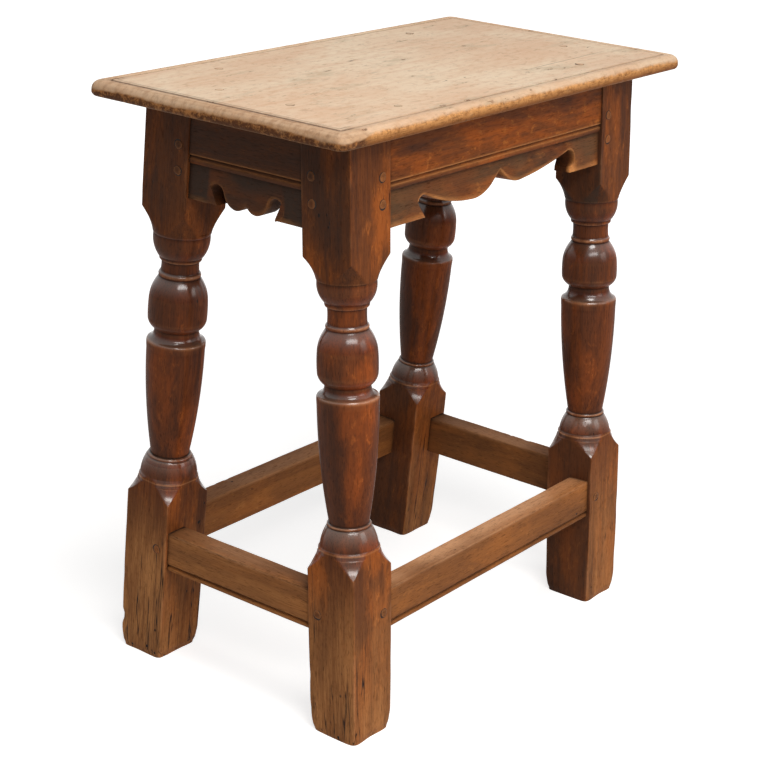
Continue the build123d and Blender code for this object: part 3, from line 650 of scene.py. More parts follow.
# ---------------------------------------------------------------- stretchers
def stretcher_section(share, worn):
    """Level and depth round a stretcher at each share of its run: the back arris, the top, the
    front arris, the face, the bead along its lower edge, the underside and the back."""
    face, back, foot = STRETCHER_SETBACK, STRETCHER_BACK, STRETCHER_FOOT
    front_round, back_round = 0.5 + 0.5 * worn, 0.7 + 0.5 * worn
    top = foot + STRETCHER_HEIGHT - (0.4 + 0.5 * worn)
    squash = front_round * 0.62
    quarter = np.linspace(0, np.pi / 2, 9)[None, :]
    rising = np.pi / 2 - quarter
    bead = arc((face + 2.3, foot + 0.15), (face + 0.4, foot + 2.4), (face + 2.0, foot + 5.0), 12)
    runs = (
        (top - back_round * (1 - np.cos(rising)), back - back_round * (1 - np.sin(rising))),
        (top + 0.15, back - np.array([[7, 10, 13]])),
        (top, face + front_round + 0.7),
        (top - squash * (1 - np.cos(quarter)), face + front_round * (1 - np.sin(quarter))),
        (top - squash - np.array([[0.7, 1.8, 3.5]]), face),
        (foot + np.array([26, 20, 14, 8.6, 7.6, 7.0, 5.9]),
         face + np.array([0, 0, 0, 0, 0.15, 0.9, 2.1])),
        (bead[::-1, 1], bead[::-1, 0]),
        (foot + np.array([0, 0, 0, 1.0, 12, 24, 35.5]),
         np.array([face + 3.5, face + 12, back - 1, back, back, back, back])),
    )
    pairs = [np.broadcast_arrays(level, depth, share)[:2] for level, depth in runs]
    return [np.concatenate(column, axis=1) for column in zip(*pairs)]


def stretcher_shell(side, seed, rubbed, scuffed):
    """Stretcher from leg to leg, its top arrises rounded by feet, most in the middle of the run.
    Rubbed is how bare feet have left its top. Scuffed is how pale its face is, or below 0 how
    much painted shade darkens all of it."""
    place, run_at, _ = side
    face, foot = STRETCHER_SETBACK, STRETCHER_FOOT
    share = np.linspace(-1, 1, 170)[:, None]
    swing = unevenness(share * [160, 0, 0], 70, seed)[:, None]
    level, depth = stretcher_section(share, 0.6 + 0.4 * np.cos(share * np.pi / 2) + 0.2 * swing)
    along = share * (run_at(level) + OVERRUN)
    rough = np.stack([along, level, depth], axis=-1)
    depth = depth + 0.15 + 0.12 * unevenness(rough * [1, 1, 0.2], 60, seed + 1)
    nibbled = ease(0.8, 1.8, unevenness(rough * [1, 0.5, 0.5], 9, seed + 2))
    level = level - 0.7 * nibbled * (level > foot + 20) * fade(depth - face - 1, 1.5)
    run = run_at(level)
    up = level - foot
    on_top = ease(foot + 37.2, foot + 38.6, level)
    on_face = depth < face + 3
    arris = fade(up - 38.0, 1.0) * on_face
    middling = np.abs(along) / run + 0.35 * unevenness(rough * [1, 1, 0.5], 60, seed + 3)
    trodden = ease(0.9, 0.2, middling)
    quirk = fade(up - 6.1, 0.9) * on_face
    soil = 0.75 * on_top * towards_leg(along, run, 16) * (1.2 - rubbed)
    rub = 0.3 + 0.9 * ease(face + 4, face + 11, depth)
    nicked = 0.5 * arris * ease(0.7, 1.5, unevenness(rough * [1, 3, 3], 6, seed + 4))
    marks = {
        "grain": grain_of(along, level, depth, seed),
        "wear": on_top * rubbed * rub * (0.45 + 0.55 * trodden)
        + 0.5 * arris * (0.4 + 0.6 * trodden),
        "grime": np.clip(quirk + towards_leg(along, run, 1.6) + soil + nicked, 0, 1),
        "bare": scuffed * (ease(face + 2, face, depth) if scuffed > 0 else 1) + 0 * along,
    }
    return place(along, level, depth), marks


def build_stretchers(finish):
    for name, side, half_turn, seed, rubbed, scuffed in (
        ("front", LONG_SIDE, 1, 501, 0.85, 0.0),
        ("back", LONG_SIDE, -1, 531, 0.4, 0.0),
        ("left", END_SIDE, 1, 561, 0.4, 0.35),
        # The right stretcher, seen from its inner side, is darkened all over: painted shade.
        ("right", END_SIDE, -1, 591, 0.4, -0.3),
    ):
        shells = half_turned([stretcher_shell(side, seed, rubbed, scuffed)], half_turn)
        name = f"stretcher_{name}"
        shape_piece(f"{name}_oak", shells, finish, [name])


# ---------------------------------------------------------------- seat
def seat_outline(inset, corner):
    """Rounded rectangle at an inset from the seat's edge, as (x, y), anticlockwise.

    Every ring has the same number of points, so that rings of any inset join up."""
    half_x, half_y = SEAT_LENGTH / 2 - inset, SEAT_WIDTH / 2 - inset
    corner = np.minimum(corner, half_y)
    bends = []
    for x_side, y_side, turn in ((1, -1, -90), (1, 1, 0), (-1, 1, 90), (-1, -1, 180)):
        angles = np.radians(turn + np.linspace(0, 90, 10))
        centre = np.array([x_side * (half_x - corner), y_side * (half_y - corner)])
        bends.append(centre + corner * np.stack([np.cos(angles), np.sin(angles)], axis=-1))
    ring = []
    for bend, following, count in zip(bends, bends[1:] + bends[:1], (84, 190, 84, 190)):
        shares = np.linspace(0, 1, count)[1:-1, None]
        ring += [bend, bend[-1] * (1 - shares) + following[0] * shares]
    return np.concatenate(ring)


def seat_section():
    """Insets from the seat's edge and drops below its top, from the middle of the top outwards,
    over the quirk line and the moulded edge, and back underneath."""
    top = (140.0, 130, 120, 110, 100, 90, 80, 70, 62, 54, 46, 40, 35, 30, 26, 23, 21.2, 20.4,
           19.6, 18.9, 18.2, 17.2, 16.4, 15.9)
    quirk = [(15.6, 0.15), (15.3, 0.8), (15.0, 1.3), (14.4, 1.4), (13.7, 1.35), (13.4, 1.0),
             (13.1, 0.6), (12.8, 0.35), (12.5, 0.3)]
    nose = arc((11.5, 0.45), (1.5, 3.2), (0.0, 7.4), 18)
    tuck = arc((0.0, 8.2), (0.5, 11.4), (2.2, 13.5), 9)
    under = [(inset, 14.0) for inset in (4.2, 8, 12, 30, 60, 90, 120, 140)]
    flat = [(inset, 0.0) for inset in top]
    section = np.concatenate([flat, quirk, nose, tuck, [(3.2, 13.85)], under])
    return np.maximum(section[:, 0], LEAST_INSET), section[:, 1]


def seat_shell():
    """Seat plank: rings dished and worn, with chips along the upper arris and a lower edge that
    is nibbled away. The bare top goes ragged where it meets the moulded edge."""
    insets, drops = seat_section()
    plan = np.stack([seat_outline(i, max(SEAT_CORNER - 0.55 * i, 0.6)) for i in insets])
    drops = drops[:, None]
    drop = drops + 0 * plan[..., 0]
    inset = insets[:, None] + 0 * drop
    rough = np.concatenate([plan, 0 * drop[..., None]], axis=-1)
    deep = np.concatenate([plan, 1.6 * drop[..., None]], axis=-1)
    edge = seat_outline(0.0, SEAT_CORNER)
    edge_points = np.pad(edge, ((0, 0), (0, 1)))[None]
    on_edge = ease(-0.6, 0.6, unevenness(edge_points, 60, 73))
    chips = ease(0.7, 1.7, unevenness(deep, 10, 72)) * on_edge
    top_side = drops < 12.5
    near_arris = np.exp(-((drops - 6.0) ** 2) / 7.0) * (drops > 0.4)
    on_top = ease(16, 30, inset) * top_side
    dish = 0.5 * on_top * (1 + unevenness(rough * [0.5, 1, 1], 150, 74)) * 0.5
    scars = 0.35 * ease(1.3, 2.2, unevenness(rough, 13, 75)) * top_side
    z = SEAT_TOP - drop - 0.5 * near_arris * chips - dish - scars - 0.02
    z = np.clip(z, FRAME_TOP, SEAT_TOP)
    nibbled = ease(0.6, 1.6, unevenness(deep, 8, 76)) * (drop > 9.5) * (drop < 13.9)
    swell = unevenness(edge_points, 95, 71)
    pull = near_arris * (0.15 * (1 + swell) + 0.6 * chips) + 0.6 * nibbled
    on_side = np.abs(edge) > np.array([SEAT_LENGTH, SEAT_WIDTH]) / 2 - 3
    plan = plan - (np.sign(edge) * on_side)[None] * np.maximum(pull, 0)[..., None]
    x, y = plan[..., 0], plan[..., 1]

    at_left = ease(SEAT_LENGTH / 2 - 40, SEAT_LENGTH / 2 - 24, -x)
    quirk = (1.05 + 0.45 * at_left) * hump(inset - MARGIN_QUIRK, 1.1 + 0.15 * at_left) * top_side
    score = 0.55 * hump(inset - LEFT_SCORE, 0.9) * at_left * top_side
    from_corner = np.maximum(SEAT_LENGTH / 2 - np.abs(x), SEAT_WIDTH / 2 - np.abs(y))
    ragged = 6.0 + 1.3 * np.exp(-from_corner / 30) + 0.6 * unevenness(edge_points, 45, 77)
    ragged = ragged + 0.4 * unevenness(deep, 7, 78) - 1.5 * (1 - at_left)
    streaked = unevenness(np.stack([inset, 1.2 * drop, 0.04 * (x + y)], axis=-1), 5.0, 79)
    band = ease(-1.9 + 1.0 * at_left, 1.1, drop - ragged)
    bare_top = 1 - 0.1 * ease(15.0, 12.4, inset) - 0.14 * ease(2.5, 5.0, drop)
    handled = 0.11 + at_left * (0.50 + 0.16 * streaked)
    marks = {
        "grain": grain_of(x, y, z, 70),
        "wear": 0.5 * fade(drop - 13.6, 0.4) * (inset < 6) + 0.6 * near_arris * chips * band,
        "grime": np.clip(quirk + score, 0, 1),
        "top": np.clip((1 - band) * bare_top, 0, 1),
        # At the left end the edge takes a darker tone.
        "bare": -1.0 * at_left * band,
        "margin": ease(14.6, 13.0, inset) * top_side * handled,
        "under": ease(13.6, 13.95, drop),
    }
    return np.stack([x, y, z], axis=-1), marks


def build_seat(finish):
    shape_piece("seat_plank_oak", [seat_shell()], finish, ["seat_board"], sharp=50)


# ---------------------------------------------------------------- pegs
def peg_shell(place, seed, proud=0.55, radius=4.5, top=0.0, bare=0.0):
    """Peg head: an uneven eight-sided ring profile with a worn, slightly domed top."""
    rng = np.random.default_rng(seed)
    turn = np.linspace(0, 2 * np.pi, 33)[:-1]
    facets = 8
    folded = (turn / (2 * np.pi) * facets + rng.uniform(0, 1)) % 1 - 0.5
    side = math.cos(np.pi / facets) / np.cos(folded * 2 * np.pi / facets)
    oval = 0.97 + 0.06 * np.sin(2 * turn + rng.uniform(0, 6))
    lobes = oval + 0.05 * np.sin(3 * turn + rng.uniform(0, 6))
    spans = np.array([0.0, 0.35, 0.7, 0.86, 0.96, 1.0, 1.0])[:, None]
    shares = np.array([1, 0.98, 0.9, 0.72, 0.4])
    lifts = np.array([*(proud * shares), 0.05, -3.0])[:, None]
    reach = radius * np.maximum(spans, 0.02) * (side * lobes)
    tilt = 0.10 * proud * np.cos(turn - rng.uniform(0, 6)) * spans
    lift = np.minimum(lifts + tilt, proud)
    u, v = reach * np.cos(turn), reach * np.sin(turn)
    flat = 0 * u
    marks = {
        "grain": grain_of(lift * 4, u, v, seed),
        "wear": 0.5 * ease(0.5, 1.0, spans) + flat,
        "grime": flat + 0.5 * (lifts < 0.3),
        "top": flat + top,
        "under": 1 + flat,
        "bare": flat + bare,
    }
    return place(u, v, lift), marks


def gap_shell(place, seed, radius=4.5, gap=0.7):
    """Painted shadow in the gap round one side of a peg: a thin dark crescent ring that lies on
    the surface.
    """
    turn = np.linspace(0, 2 * np.pi, 49)[:-1]
    lean = np.random.default_rng(seed + 5000).uniform(0, 2 * np.pi)
    width = -0.3 + (gap + 0.3) * np.clip(np.cos(turn - lean), 0, 1) ** 0.8
    outer = radius + width
    reach = np.stack([0 * turn + 0.1, 0 * turn + radius * 0.8, outer, outer])
    flat = 0 * reach
    lift = np.array([0.07, 0.07, 0.05, -0.8])[:, None] + flat
    marks = {"grain": grain_of(lift, reach, flat, seed), "wear": flat, "grime": flat + 1}
    return place(reach * np.cos(turn), reach * np.sin(turn), lift), marks


def build_peg_set(name, spots, side, finishes, head, gap):
    """The heads of the pegs that share a node, given as (seed, place), and a painted shadow in
    the gap round each.
    """
    heads, gap_shadows = [], []
    for seed, place in spots:
        rings, marks = peg_shell(place, seed, **head)
        heads.append((sided(rings, *side), marks))
        rings, marks = gap_shell(place, seed, **gap)
        gap_shadows.append((sided(rings, *side), marks))
    shape_piece(f"{name}_heads", heads, finishes[0], [name])
    shape_piece(f"{name}_gaps", gap_shadows, finishes[1], [])


def joint_peg_place(face, level):
    """Where a peg's across, up and outwards lie, on the long or the end face of its leg."""
    if face == "face":
        across, up = -LONG_CLEAR - PEG_FROM_SHOULDER, level / math.cos(RAKE)
        return lambda u, v, lift: front_place(across + u, up + v, -lift)
    across = end_run(level) + PEG_FROM_SHOULDER / math.cos(RAKE)
    return lambda u, v, lift: end_place(across + u, level + v, -lift)


def build_joint_pegs(finishes):
    """Peg heads on the leg faces, a pair to each rail and one to each stretcher."""
    rail_levels = [FRAME_TOP - drop for drop in RAIL_PEG_DROPS]
    stretcher_levels = [STRETCHER_FOOT + STRETCHER_HEIGHT / 2]
    seed = 700
    for kind, levels in (("rail_pegs", rail_levels), ("stretcher_peg", stretcher_levels)):
        for corner, *side in corners():
            for face in ("face", "end"):
                spots = []
                for level in levels:
                    seed += 1
                    spots.append((seed, joint_peg_place(face, level)))
                # Pegs on the end rails are darkened with them: painted shade.
                shade = -0.5 if face == "end" and kind == "rail_pegs" else 0.1
                name = f"{kind}_{corner}_{face}"
                build_peg_set(name, spots, side, finishes, dict(bare=shade), {})


def seat_peg_place(x, y):
    """The same for a seat peg."""
    return lambda u, v, lift: np.stack(
        np.broadcast_arrays(x + u, y + v, SEAT_TOP - 0.35 + lift), axis=-1)


def build_seat_pegs(finishes):
    """Flush heads of the seat pegs."""
    head = dict(proud=0.4, radius=4.3, top=0.8)
    gap = dict(radius=4.3, gap=0.45)
    for number, (side, places) in enumerate({
        "front": [(-141, -100.5), (141, -100.5)],
        "back": [(-141, 100.5), (141, 100.5)],
        "left": [(-207.5, -39), (-207.5, 39)],
        "right": [(207.5, -39), (207.5, 39)],
    }.items()):
        spots = [(900 + 10 * number + step, seat_peg_place(*spot))
                 for step, spot in enumerate(places)]
        build_peg_set(f"seat_pegs_{side}", spots, (-1, -1), finishes, head, gap)


# ---------------------------------------------------------------- finishes
def tint(red, green, blue):
    """A display colour, 0 to 255, as the linear colour that shaders take."""
    channels = np.array([red, green, blue]) / 255
    linear = np.where(channels <= 0.04045, channels / 12.92, ((channels + 0.055) / 1.055) ** 2.4)
    return (*linear.tolist(), 1.0)


class Field:
    """A shader value that adds Math nodes as it is worked with."""

    def __init__(self, tree, socket):
        self.tree = tree
        self.socket = socket

    def math(self, operation, *others, swap=False, clamp=False):
        node = self.tree.nodes.new("ShaderNodeMath")
        node.operation = operation
        node.use_clamp = clamp
        for slot, term in zip(node.inputs, [*others, self] if swap else [self, *others]):
            feed(slot, term)
        return Field(self.tree, node.outputs[0])

    __add__ = __radd__ = partialmethod(math, "ADD")
    __mul__ = __rmul__ = partialmethod(math, "MULTIPLY")
    __sub__ = partialmethod(math, "SUBTRACT")
    __rsub__ = partialmethod(math, "SUBTRACT", swap=True)
    clamped = partialmethod(math, "ADD", 0.0, clamp=True)

    def ramp(self, low, high):
        """0 below low, 1 above high, smooth between."""
        node = self.tree.nodes.new("ShaderNodeMapRange")
        node.interpolation_type = "SMOOTHSTEP"
        for key, value in (("Value", self), ("From Min", low), ("From Max", high)):
            feed(node.inputs[key], value)
        return Field(self.tree, node.outputs["Result"])


def feed(slot, value):
    """Link a Field into a node's input, or set the input's own value."""
    if isinstance(value, Field):
        value.tree.links.new(value.socket, slot)
    else:
        slot.default_value = value


class Finish:
    """A material in the making."""

    def __init__(self, name):
        self.material = bpy.data.materials.new(name)
        self.material.use_nodes = True
        self.tree = self.material.node_tree
        self.tree.nodes.clear()

    def node(self, kind, settings=None, sockets=None, output=0):
        """Any node: its settings first, then a value or a link for each named socket."""
        node = self.tree.nodes.new(kind)
        for key, value in (settings or {}).items():
            setattr(node, key, value)
        for key, value in (sockets or {}).items():
            feed(node.inputs[key], value)
        return Field(self.tree, node.outputs[output])

    def attribute(self, name, output="Fac"):
        return self.node("ShaderNodeAttribute", {"attribute_name": name}, output=output)

    @cached_property
    def grain(self):
        return self.attribute("grain", "Vector")

    def stretched(self, place, factors, shift=(0, 0, 0)):
        """Coordinates scaled along each axis."""
        sockets = {"Vector": place, "Scale": factors, "Location": shift}
        return self.node("ShaderNodeMapping", sockets=sockets)

    def noise(self, place, scale, detail=3.0, roughness=0.5, distortion=0.0):
        return self.node("ShaderNodeTexNoise", sockets={
            "Vector": place, "Scale": scale, "Detail": detail, "Roughness": roughness,
            "Distortion": distortion,
        }, output="Fac")

    def pattern(self, factors, detail, roughness, distortion=0.0, shift=(0, 0, 0)):
        """Noise that is stretched along the grain."""
        place = self.stretched(self.grain, factors, shift)
        return self.noise(place, 1.0, detail, roughness, distortion)

    def mix(self, factor, first, second, mode="MIX"):
        settings = {"data_type": "RGBA", "blend_type": mode}
        return self.node("ShaderNodeMix", settings, {0: factor, 6: first, 7: second}, output=2)

    def close(self, surface):
        output = self.tree.nodes.new("ShaderNodeOutputMaterial")
        feed(output.inputs["Surface"], surface)
        return self.material


def oak(name, *palette, stain=0.5, wear_share=1.0, over=None):
    """Old stained oak: fibres and short pores along the grain, broad warm patches, dark runs of
    stain, cracks and worm holes where it is bare, rubbed arrises, dark hollows, and a polish
    that shows most where a surface turns away. Negative bare darkens it, mostly as painted
    shade, and a pale grey is laid on as a dusting and a painted sheen."""
    f = Finish(name)
    dark, mid, warm, fleck, worn, grime = (tint(*colour) for colour in palette)
    wear, crevice, polish, bare, top = (
        f.attribute(mark) for mark in ("wear", "grime", "polish", "bare", "top"))
    fibres = f.pattern((30, 900, 900), 3.0, 0.6)
    streaks = f.pattern((9, 230, 230), 5.0, 0.62, 0.2)
    figure = f.pattern((4, 50, 50), 4.0, 0.6, 0.4, (1, 4, 2))
    patches = f.pattern((9, 24, 24), 5.0, 0.62, 0.3, (2, 5, 1))
    runs = f.pattern((7, 42, 42), 5.0, 0.62, 0.3, (5, 1, 4))
    flecks = f.pattern((80, 150, 150), 4.0, 0.7, 0.5, (1, 2, 6))
    mottle = f.noise(f.grain, 170.0, 4.0, 0.65)
    pores = f.pattern((130, 1300, 1300), 1.0, 0.5, 0.0, (4, 2, 1)).ramp(0.58, 0.70)
    pores = pores * (1.0 - top * 0.85)
    scuffed = bare.clamped()
    splits = f.pattern((4, 90, 90), 3.0, 0.55, 0.2, (7, 1, 3))
    split = 1.0 - (splits - 0.5).math("ABSOLUTE").ramp(0.0, 0.016)
    crack = (split * (patches + scuffed * 0.3).ramp(0.62, 0.72)).clamped()
    cells = {"Vector": f.stretched(f.grain, (95, 150, 150)), "Scale": 1.0}
    holes = f.node("ShaderNodeTexVoronoi", sockets=cells, output="Distance")
    worm = (1.0 - holes.ramp(0.12, 0.20)) * (runs + scuffed * 0.12 - top * 0.03).ramp(0.62, 0.66)

    tone = (fibres * 0.3 + streaks * 0.3 + figure * 0.4).ramp(0.40, 0.60)
    colour = f.mix(tone, dark, mid)
    warmth = patches.ramp(0.46, 0.64) * (0.2 + streaks * 1.2)
    colour = f.mix(warmth.clamped(), colour, warm)
    flecked = flecks.ramp(0.54, 0.72) * patches.ramp(0.38, 0.58) * 0.75
    colour = f.mix(flecked.clamped(), colour, fleck)
    pale_tone = (figure * 0.6 + fibres * 0.4).ramp(0.38, 0.62)
    # Above 0, bare makes the wood pale: scuffing, and low on the legs partly a painted light.
    colour = f.mix(scuffed, colour, f.mix(pale_tone, tint(150, 97, 55), tint(198, 136, 82)))
    stained = runs.ramp(0.47, 0.64) * stain * (1.3 - fibres * 0.8) * (1.0 - scuffed * 0.6)
    colour = f.mix(stained.clamped(), colour, tint(60, 33, 21))
    # Below 0, bare darkens the wood: painted shade on the legs' heads, the blocks' inner faces,
    # the turning's -X side, the end rails and their pegs and the right stretcher, partly in the
    # waists; a darker tone on the long rails' scroll fields, the left end of the seat's edge and
    # the head's facets.
    colour = f.mix((bare * -1.0).clamped(), colour, tint(60, 43, 33))
    polish_tint = (0.74, 0.41, 0.22, 1.0)
    colour = f.mix(polish.ramp(0.08, 0.16) * 0.8, colour, polish_tint, "MULTIPLY")
    # A pale grey laid over the wood: partly a dusting and partly a painted sheen.
    dust_and_sheen_share = f.attribute("dust_and_sheen") * (0.6 + mottle * 0.8)
    colour = f.mix(dust_and_sheen_share.clamped(), colour, tint(134, 114, 98))
    colour = f.mix(f.attribute("faded").clamped(), colour, tint(126, 106, 72))
    if over is not None:
        colour = over(f, colour)
    rub = wear * (0.1 + mottle * 0.9 + streaks * 0.6) * wear_share
    colour = f.mix(rub.clamped(), colour, worn)
    colour = f.mix(pores * 0.4, colour, grime)
    colour = f.mix(mottle.ramp(0.50, 0.75) * (1.0 - top) * 0.3, colour, dark)
    hollow = (crevice * (0.6 + mottle * 0.7)).clamped()
    colour = f.mix(hollow, colour, grime)
    colour = f.mix((crack + worm).clamped(), colour, tint(24, 14, 10))

    rough = 0.56 + mottle * 0.16 + pores * 0.2 + hollow * 0.15 - polish * 0.22
    relief = streaks * 0.2 + fibres * 0.12 + mottle * 0.10 + runs * 0.25 - pores * 0.2
    relief = relief - (crack + worm) * 2.0
    bump = f.node("ShaderNodeBump", sockets={
        "Strength": 0.4, "Distance": 0.0006, "Height": relief})
    turning_away = f.node("ShaderNodeLayerWeight", sockets={"Blend": 0.5}, output="Facing")
    gloss = polish.ramp(0.0, 0.9) * (1.0 - hollow) * (1.1 - mottle * 0.3)
    gloss = gloss + turning_away.ramp(0.78, 1.0) * 0.22
    return f.close(f.node("ShaderNodeBsdfPrincipled", sockets={
        "Base Color": colour, "Roughness": rough.clamped(), "Normal": bump,
        "Specular IOR Level": 0.1, "Coat Weight": gloss.clamped(), "Coat Roughness": 0.18,
        "Coat IOR": 1.65,
    }))


def blot(f, place, spot, size):
    """1 inside a small gouge at a spot of the seat, in mm, and 0 outside it."""
    centre = (-2.2 * spot[0] * MM, -4 * spot[1] * MM, 0)
    oval = f.stretched(place, (2.2, 4, 0), centre)
    reach = f.node("ShaderNodeVectorMath", {"operation": "LENGTH"}, {0: oval}, output="Value")
    return 1.0 - reach.ramp(size * MM, 2.2 * size * MM)


def seat_top_tone(f, place, streaks, clouds):
    """Bare, rubbed, pale wood with grey smudges, small nicks and soft clouds, a few gouges along
    the front margin, and one long season crack."""
    smudges = f.pattern((11, 26, 12), 5.0, 0.68, 0.0, (3, 3, 3)).ramp(0.54, 0.70)
    freckles = f.pattern((90, 150, 120), 4.0, 0.7, 0.0, (2, 6, 3))
    bare = f.mix(clouds.ramp(0.34, 0.68), tint(216, 182, 152), tint(226, 204, 177))
    bare = f.mix(streaks.ramp(0.45, 0.72) * 0.4, bare, tint(206, 162, 130))
    bare = f.mix(smudges * 0.55, bare, tint(180, 164, 138))
    bare = f.mix(freckles.ramp(0.48, 0.72) * 0.5, bare, tint(196, 154, 120))
    nicks = f.pattern((90, 230, 90), 4.0, 0.7, 0.0, (1, 5, 2)).ramp(0.57, 0.66)
    bare = f.mix((nicks * (smudges + 0.28)).clamped() * 0.9, bare, tint(120, 84, 60))
    handled = f.mix(freckles.ramp(0.42, 0.62), tint(178, 142, 110), tint(140, 104, 74))
    bare = f.mix(f.attribute("margin").clamped(), bare, handled)
    gouges = blot(f, place, (-231, -135.5), 4.5) + blot(f, place, (4, -136), 3)
    gouges = gouges + blot(f, place, (61, -126.5), 3.5)
    broken = f.pattern((160, 400, 100), 4.0, 0.7).ramp(0.42, 0.56)
    bare = f.mix((gouges * broken).clamped() * 0.85, bare, tint(84, 54, 38))
    x, y = (f.node("ShaderNodeSeparateXYZ", sockets={"Vector": place}, output=axis)
            for axis in "XY")
    off_line = y + 0.0852 - x * 0.028 + (streaks - 0.5) * 0.003
    crack = 1.0 - off_line.math("ABSOLUTE").ramp(0.0001, 0.0007)
    crack = crack * x.ramp(0.07, 0.10) * (1.0 - x.ramp(0.19, 0.232))
    return f.mix(crack.clamped() * 0.75, bare, tint(96, 62, 42))


def seat_tones(f, colour):
    """Seat plank: its pale top above an edge that is golden along the sides and darker at the
    left end, over the plain oak underneath."""
    streaks = f.pattern((6, 150, 150), 6.0, 0.66, 0.4)
    clouds = f.pattern((6, 12, 9), 5.0, 0.65, 0.4)
    place = f.node("ShaderNodeTexCoord", output="Object")
    bare = seat_top_tone(f, place, streaks, clouds)
    grit = f.noise(f.grain, 260.0, 4.0, 0.7)
    z = f.node("ShaderNodeSeparateXYZ", sockets={"Vector": place}, output="Z")
    low = 1.0 - z.ramp(0.5475, 0.5560)
    gold = f.mix(low, tint(218, 158, 98), tint(146, 90, 44))
    gold = f.mix(grit.ramp(0.40, 0.64) * 0.55, gold, tint(132, 80, 40))
    gold = f.mix((streaks * 0.5 + grit * 0.5).ramp(0.54, 0.66) * 0.6, gold, tint(88, 52, 28))
    dirt = (grit * 0.6 + clouds * 0.4 - low * 0.05).ramp(0.42, 0.58)
    left_end_tone = f.mix(dirt, tint(90, 54, 31), tint(178, 120, 70))
    edge = f.mix((f.attribute("bare") * -1.0).clamped(), gold, left_end_tone)
    colour = f.mix((1.0 - f.attribute("under")).clamped(), colour, edge)
    return f.mix(f.attribute("top").clamped(), colour, bare)


def gap_shadow_finish():
    """The painted shadow in the gap round a peg."""
    f = Finish("peg_gap_shadow")
    shade = f.mix(f.noise(f.grain, 90.0), tint(20, 11, 7), tint(38, 22, 13))
    sockets = {"Base Color": shade, "Roughness": 0.9}
    return f.close(f.node("ShaderNodeBsdfPrincipled", sockets=sockets))


# ---------------------------------------------------------------- studio
def backdrop_share(tree):
    """1 for rays that show the backdrop itself, 0 for rays that gather its light."""
    rays = tree.nodes.new("ShaderNodeLightPath")
    camera, glossy, through = (Field(tree, rays.outputs[f"Is {kind} Ray"])
                               for kind in ("Camera", "Glossy", "Transmission"))
    return (camera + glossy + through).clamped()


def build_floor():
    """A plain pale floor: it keeps the stool's shadow and goes to white away from it."""
    f = Finish("floor_white")
    place = f.node("ShaderNodeTexCoord", output="Object")
    reach = f.node("ShaderNodeVectorMath", {"operation": "LENGTH"}, {0: place}, output="Value")
    diffuse = f.node("ShaderNodeBsdfDiffuse", sockets={"Color": (0.62, 0.61, 0.60, 1)})
    strength = backdrop_share(f.tree) * (0.76 + reach.ramp(0.3, 2.0) * 0.36)
    glow = f.node("ShaderNodeEmission", sockets={"Color": (1, 1, 1, 1), "Strength": strength})
    both = f.node("ShaderNodeAddShader", sockets={0: diffuse, 1: glow})
    size = 14.0
    around = ((-size, -size, 0), (size, -size, 0), (size, size, 0), (-size, size, 0))
    mesh = bpy.data.meshes.new("floor")
    mesh.from_pydata(around, [], [(0, 1, 2, 3)])
    mesh.materials.append(f.close(both))
    floor = bpy.data.objects.new("floor", mesh)
    bpy.context.scene.collection.objects.link(floor)


def build_world():
    world = bpy.data.worlds.new("studio")
    bpy.context.scene.world = world
    world.use_nodes = True
    background = world.node_tree.nodes["Background"]
    feed(background.inputs["Color"], (1, 1, 1, 1))
    feed(background.inputs["Strength"], backdrop_share(world.node_tree) * 0.88 + 0.12)


def facing(back):
    """Right and up of a camera or lamp held level, from the direction behind it."""
    right = np.cross((0, 0, 1), back)
    right /= np.linalg.norm(right)
    return right, np.cross(back, right)


def put_up(data, place, right, up, back):
    """A camera or lamp, put in its place and turned to its axes."""
    holder = bpy.data.objects.new(data.name, data)
    turn = Matrix(np.stack([right, up, back], axis=1).tolist()).to_4x4()
    holder.matrix_world = Matrix.Translation(place) @ turn
    bpy.context.scene.collection.objects.link(holder)
    return holder


def lamp(name, place, target, size, power, colour):
    """A soft box, width and height in metres, at a place and turned to a target."""
    light = bpy.data.lights.new(name, "AREA")
    light.shape = "RECTANGLE"
    light.size, light.size_y = size
    light.energy = power
    light.color = colour
    back = np.array(place, float) - np.array(target, float)
    back /= np.linalg.norm(back)
    put_up(light, place, *facing(back), back)


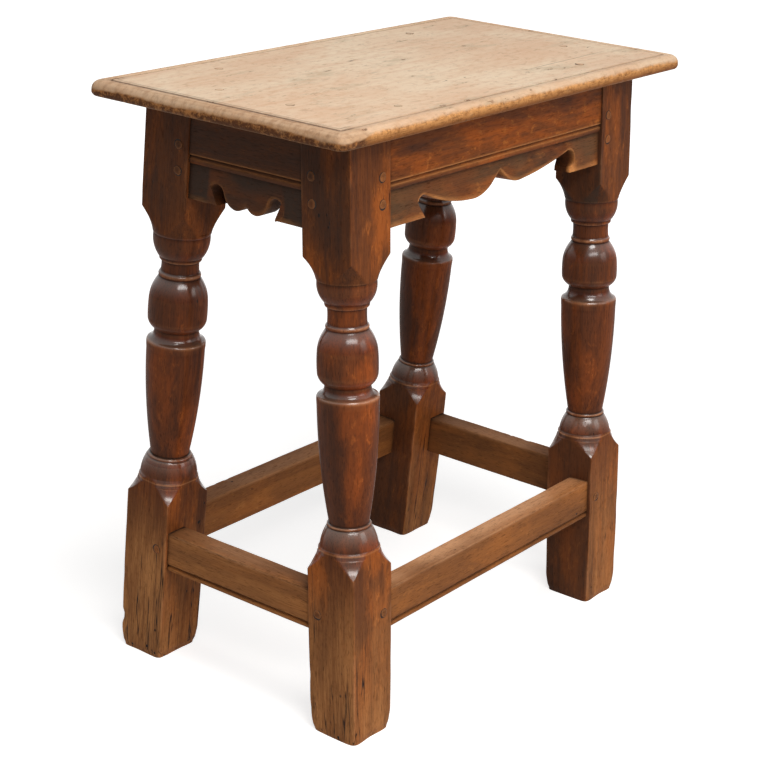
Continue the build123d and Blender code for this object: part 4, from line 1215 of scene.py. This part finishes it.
def build_lamps():
    middle = (0, 0, 0.35)
    lamp("overhead", (-0.45, -0.75, 2.6), middle, (0.9, 0.9), 34, (1.0, 0.99, 0.97))
    lamp("window", (0.5, -2.4, 1.2), middle, (1.1, 1.1), 13, (1.0, 0.97, 0.93))
    lamp("glint", (-1.03, -1.5, 1.74), (0, 0, 0.2), (1.6, 0.4), 20.5, (1.0, 0.99, 0.97))


def build_camera():
    """Camera at the viewing angle: yaw from +X towards +Y, pitch down, and a slight roll."""
    yaw, pitch, roll = (math.radians(a) for a in (36.83, 20.25, 2.77))
    flat = math.cos(pitch)
    back = -np.array([math.cos(yaw) * flat, math.sin(yaw) * flat, -math.sin(pitch)])
    level_right, level_up = facing(back)
    right = level_right * math.cos(roll) + level_up * math.sin(roll)
    up = level_up * math.cos(roll) - level_right * math.sin(roll)
    camera = bpy.data.cameras.new("camera")
    camera.sensor_width = 36
    camera.lens = 90.66
    place = (-1.41386, -1.05304, 0.89933)
    bpy.context.scene.camera = put_up(camera, place, right, up, back)


# Display colours of each wood: dark, middle, warm, fleck, worn and grime.
LEG_TONES = ((92, 49, 24), (128, 70, 32), (172, 91, 35), (196, 113, 51), (220, 152, 104),
             (34, 19, 11))
RAIL_TONES = ((96, 52, 25), (130, 69, 29), (174, 89, 31), (196, 116, 50), (214, 144, 84),
              (38, 22, 13))
STRETCHER_TONES = ((132, 81, 43), (148, 93, 49), (170, 104, 51), (184, 118, 62),
                   (214, 160, 118), (40, 24, 15))
PEG_TONES = ((90, 52, 28), (126, 74, 38), (152, 86, 42), (170, 104, 54), (184, 124, 80),
             (28, 16, 10))
SEAT_TONES = ((112, 66, 34), (160, 100, 52), (190, 122, 66), (200, 140, 84), (228, 184, 138),
              (56, 32, 18))

build_camera()
seat_oak = oak("seat_oak", *SEAT_TONES, stain=0.6, wear_share=0.7, over=seat_tones)
gap_shadow = gap_shadow_finish()
build_seat(seat_oak)
build_legs(oak("leg_oak", *LEG_TONES, stain=0.8))
build_rails(oak("rail_oak", *RAIL_TONES, stain=0.7))
build_stretchers(oak("stretcher_oak", *STRETCHER_TONES, stain=0.35))
build_joint_pegs((oak("peg_oak", *PEG_TONES), gap_shadow))
build_seat_pegs((seat_oak, gap_shadow))
build_floor()
build_world()
build_lamps()
bpy.context.scene.view_settings.view_transform = "Standard"
